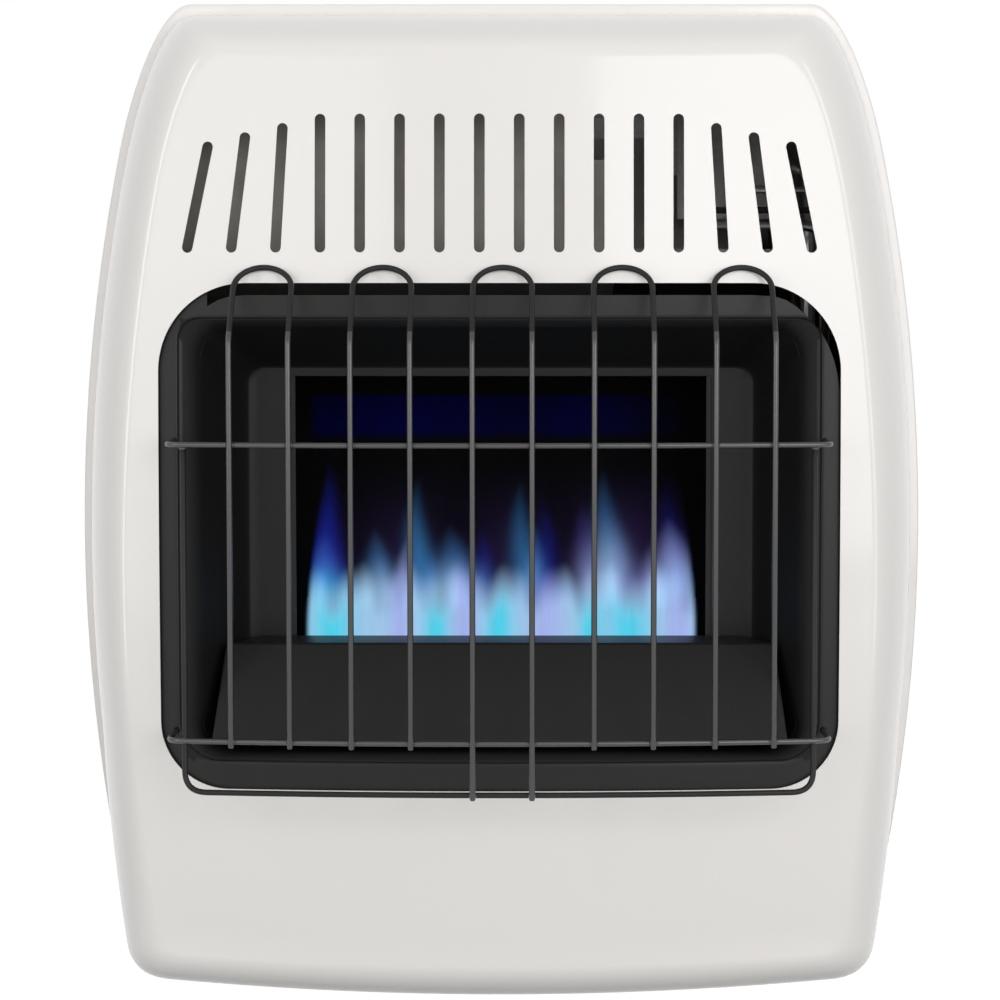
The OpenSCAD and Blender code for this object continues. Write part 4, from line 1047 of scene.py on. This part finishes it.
# ---- flames: three thin curtains of overlapping tongues over the burner ----
flames = {
    "half": 121, "foot": 190, "top": 312, "columns": 160, "rows": 70, "sheetY": (-84, -72, -62),
    # the low bright body: how high it stands, its slow and quick waves (height, pitch, start),
    # and the places and half widths where it is greener or more violet
    "bodyTop": 222, "bodySoft": 15, "bodyLevel": 0.95, "bodyWaves": [(4, 0.21, 0.6), (1.5, 0.47, 2.0)],
    "cyanSpots": [(-101, 12), (-39, 8), (-2, 9), (53, 7), (76, 13)],
    "violetSpots": [(-61, 6), (-22, 8), (27, 10), (106, 9)],
    # each tongue is widened, and begins to show above the bright body
    "widen": 1.18, "showFrom": 208, "showOver": 26,
    # middle, top of the tip, half width at the foot, strength, body and tip colour, sheet
    "tongues": [
        (-104, 258, 9.5, 0.75, "cyan", "sky", 1), (-104, 299, 7, 0.5, "deep", "deep", 0),
        (-99, 284, 5.5, 0.28, "deep", "deep", 2), (-92, 236, 9, 0.6, "pale", "sky", 2),
        (-74.5, 259, 8.5, 0.75, "pale", "sky", 1), (-66, 238, 6, 0.4, "lavender", "violet", 0),
        (-58.5, 254, 5, 0.6, "lavender", "lavender", 2), (-49, 289, 7, 0.7, "teal", "teal", 1),
        (-44, 250, 6, 0.4, "pale", "sky", 0), (-31.5, 259, 12, 0.8, "pale", "sky", 2),
        (-22, 247, 8, 0.55, "lavender", "violet", 1), (-13, 262, 6.5, 0.45, "sky", "deep", 0),
        (-9, 238, 6, 0.4, "lavender", "violet", 2), (13.5, 288, 7.5, 0.55, "teal", "teal", 1),
        (18, 262, 6, 0.4, "pale", "sky", 2), (24, 279, 7, 0.36, "deep", "deep", 0),
        (30, 237, 7, 0.5, "lavender", "violet", 2), (40, 236, 6, 0.4, "lavender", "violet", 1),
        (51, 276, 8, 0.42, "lavender", "violet", 2), (54, 240, 7, 0.5, "cyan", "lavender", 0),
        (63, 293, 9, 0.62, "pale", "sky", 1), (70, 268, 7, 0.3, "violet", "violet", 0),
        (83, 244, 9, 0.4, "lavender", "violet", 2), (90, 250, 7, 0.5, "pale", "lavender", 0),
        (101, 265, 11.5, 0.9, "pale", "lavender", 1), (101, 289, 8, 0.26, "deep", "deep", 0),
        (111, 240, 6, 0.6, "violet", "violet", 2), (114.5, 216, 5, 0.8, "deep", "deep", 0),
    ],
    "colours": {"cyan": (0.07, 0.66, 0.84), "pale": (0.36, 0.60, 0.84), "lavender": (0.38, 0.45, 0.86),
                "sky": (0.06, 0.22, 0.54), "teal": (0.03, 0.19, 0.44), "violet": (0.12, 0.08, 0.44),
                "deep": (0.008, 0.022, 0.42)},
    # the violet haze, its top and depth, and where it ends at the sides
    "halo": (0.013, 0.006, 0.034), "haloTop": 304, "haloDepth": 95, "haloHalf": 120, "haloSide": 22,
    # half width of the lit part, how much it draws in above drawH, and its soft edge
    "lit": 117.5, "litDraw": 0.012, "drawH": 200, "litSoft": 4,
    "mostAlpha": 0.6, "alphaShare": 0.75, "leastAlpha": 0.00005, "brightest": 0.95,
    "wispScale": 260.0, "wispSqueeze": 0.06, "wispSpan": 0.24, "wispLow": 0.88,
}


def soften(t):
    t = min(1.0, max(0.0, t))
    return t * t * (3 - 2 * t)


def bodyGlow(x, h):
    # the bright foot of all the flames, pale blue with greener and more violet places
    f = flames
    top = f["bodyTop"] + sum(a * math.sin(x * b + c) for a, b, c in f["bodyWaves"])
    level = f["bodyLevel"] * soften((top + f["bodySoft"] - h) / (2 * f["bodySoft"]))
    colour = f["colours"]["pale"]
    low = soften((top + 6 - h) / 26)
    for name, spots in (("cyan", f["cyanSpots"]), ("lavender", f["violetSpots"])):
        for middle, half in spots:
            t = math.exp(-((x - middle) / half) ** 2) * (low if name == "cyan" else 0.9)
            colour = [a + (b - a) * t for a, b in zip(colour, f["colours"][name])]
    return [level * c for c in colour]


def flameGlow(x, h, sheet):
    # adds up the tongues of one sheet at one place
    f = flames
    glow = bodyGlow(x, h) if sheet == 1 else [0.0, 0.0, 0.0]
    for middle, top, half, strength, body, tip, where in f["tongues"]:
        if where != sheet or h > top + 4:
            continue
        k = (h - f["foot"] - 6) / (top - f["foot"] - 6)
        width = f["widen"] * half * (1.0 if k < 0.25 else max(0.16, 1 - ((k - 0.25) / 0.75) ** 1.7 * 0.84))
        lean = (x - middle - 2.5 * math.sin(h * 0.06 + middle)) / width
        if abs(lean) > 2.4:
            continue
        # fading out at its tip, and also low down, where the bright body takes over
        shown = soften((h - f["showFrom"]) / f["showOver"])
        level = strength * math.exp(-lean ** 2) * soften((1.06 - k) / 0.74) * shown
        t = soften((k - 0.3) / 0.5)
        a, b = f["colours"][body], f["colours"][tip]
        glow = [g + level * (p + (q - p) * t) for g, p, q in zip(glow, a, b)]
    if sheet == 0:
        # the sheet nearest the room also has a faint violet haze between the tongues
        haze = soften((f["haloTop"] - h) / f["haloDepth"]) * soften((f["haloHalf"] - abs(x)) / f["haloSide"])
        ripple = 0.7 + 0.3 * math.sin(x * 0.105 + 1.2) + 0.9 * math.exp(-((x - 80) / 16) ** 2)
        glow = [v + haze * ripple * c for v, c in zip(glow, f["halo"])]
    edge = f["lit"] - f["litDraw"] * max(0, h - f["drawH"]) ** 1.5
    inside = soften((edge - abs(x)) / f["litSoft"])
    return [min(f["brightest"], g * inside) for g in glow]


def makeFlameMaterial():
    # light only: what the curtains' points carry, broken up by fine upright wisps
    f = flames
    material, tree, shader = newMaterial("blueFlame")
    setInputs(shader, {"Base Color": (0, 0, 0), "Specular IOR Level": 0.0, "Roughness": 1.0,
                       "Emission Strength": 1.0})
    glow = tree.nodes.new("ShaderNodeAttribute")
    glow.attribute_name = "glow"
    wisps = addNoise(tree, objectPlace(tree, f["wispSqueeze"]), f["wispScale"], 3.0, 0.6)
    level = addMath(tree, "ADD", addMath(tree, "MULTIPLY", wisps, f["wispSpan"]), f["wispLow"])
    tinted = mixColour(tree, 1.0, glow.outputs["Color"], level, "MULTIPLY")
    tree.links.new(tinted, shader.inputs["Emission Color"])
    tree.links.new(glow.outputs["Alpha"], shader.inputs["Alpha"])
    return material


def makeFlames():
    f = flames
    finishes["blueFlame"] = makeFlameMaterial()
    for sheet, y in enumerate(f["sheetY"]):
        deselectAll()
        bpy.ops.mesh.primitive_grid_add(x_subdivisions=f["columns"], y_subdivisions=f["rows"], size=1)
        curtain = named("flameCurtain%d" % (sheet + 1))
        layer = curtain.data.color_attributes.new("glow", "FLOAT_COLOR", "POINT")
        for v in curtain.data.vertices:
            x = v.co.x * 2 * f["half"]
            h = f["foot"] + (v.co.y + 0.5) * (f["top"] - f["foot"])
            glow = flameGlow(x, h, sheet)
            alpha = min(f["mostAlpha"], max(glow) * f["alphaShare"])
            scale = 1 / alpha if alpha > f["leastAlpha"] else 0.0
            layer.data[v.index].color = (*[c * scale for c in glow], alpha)
            sway = 2.2 * math.sin(x * 0.09 + sheet * 2) + 3 * math.sin((h - f["foot"]) * 0.045 + x * 0.02)
            v.co = place(x, y + sway, h)
        smooth(curtain, 180)
        finish(curtain, "blueFlame")


makeFlames()
print("stage: flames")

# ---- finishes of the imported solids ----
nodeFinishes = {
    "galvanised": ["wall_bracket", "wall_spacers", "burner_supports", "orifice_holder", "pilot_bracket",
                   "valve_bracket", "regulator_bracket"],
    "backSheet": ["case_back"],
    "casePaint": ["case_wrap", "case_foot", "control_tray"],
    "whiteEnamel": ["front_panel"],
    "blackEnamel": ["surround", "burner_cover"],
    "darkPlate": ["firebox_plate"],
    "sootedSteel": ["firebox_side_left", "firebox_side_right", "firebox_floor", "firebox_roof"],
    # the firebox back carries the painted reflection of the flames
    "bluedSteel": ["firebox_back"],
    "deflectorSteel": ["heat_deflector", "valve_shield"],
    "burnerSteel": ["burner_tube", "mixer_tube", "thermocouple"],
    "brass": ["orifice", "pilot_burner", "valve_plunger", "control_stem"],
    "ceramic": ["electrode"],
    "castBody": ["gas_valve", "regulator"],
    "blackPlastic": ["control_knob", "igniter_body"],
    "redPlastic": ["igniter_button"],
    "drawnTube": ["inlet_pipe", "burner_pipe", "pilot_pipe"],
    "darkSleeve": ["thermocouple_lead", "ignition_lead"],
    "zinc": ["igniter_nut", "panel_screws", "surround_screws"],
}


def cadObject(node):
    return next(o for o in bpy.data.objects if o.name == node or o.name.startswith(node + "."))


for material, names in nodeFinishes.items():
    for name in names:
        piece = cadObject(name)
        piece.data.materials.clear()
        piece.data.materials.append(finishes[material])
print("stage: finishes")
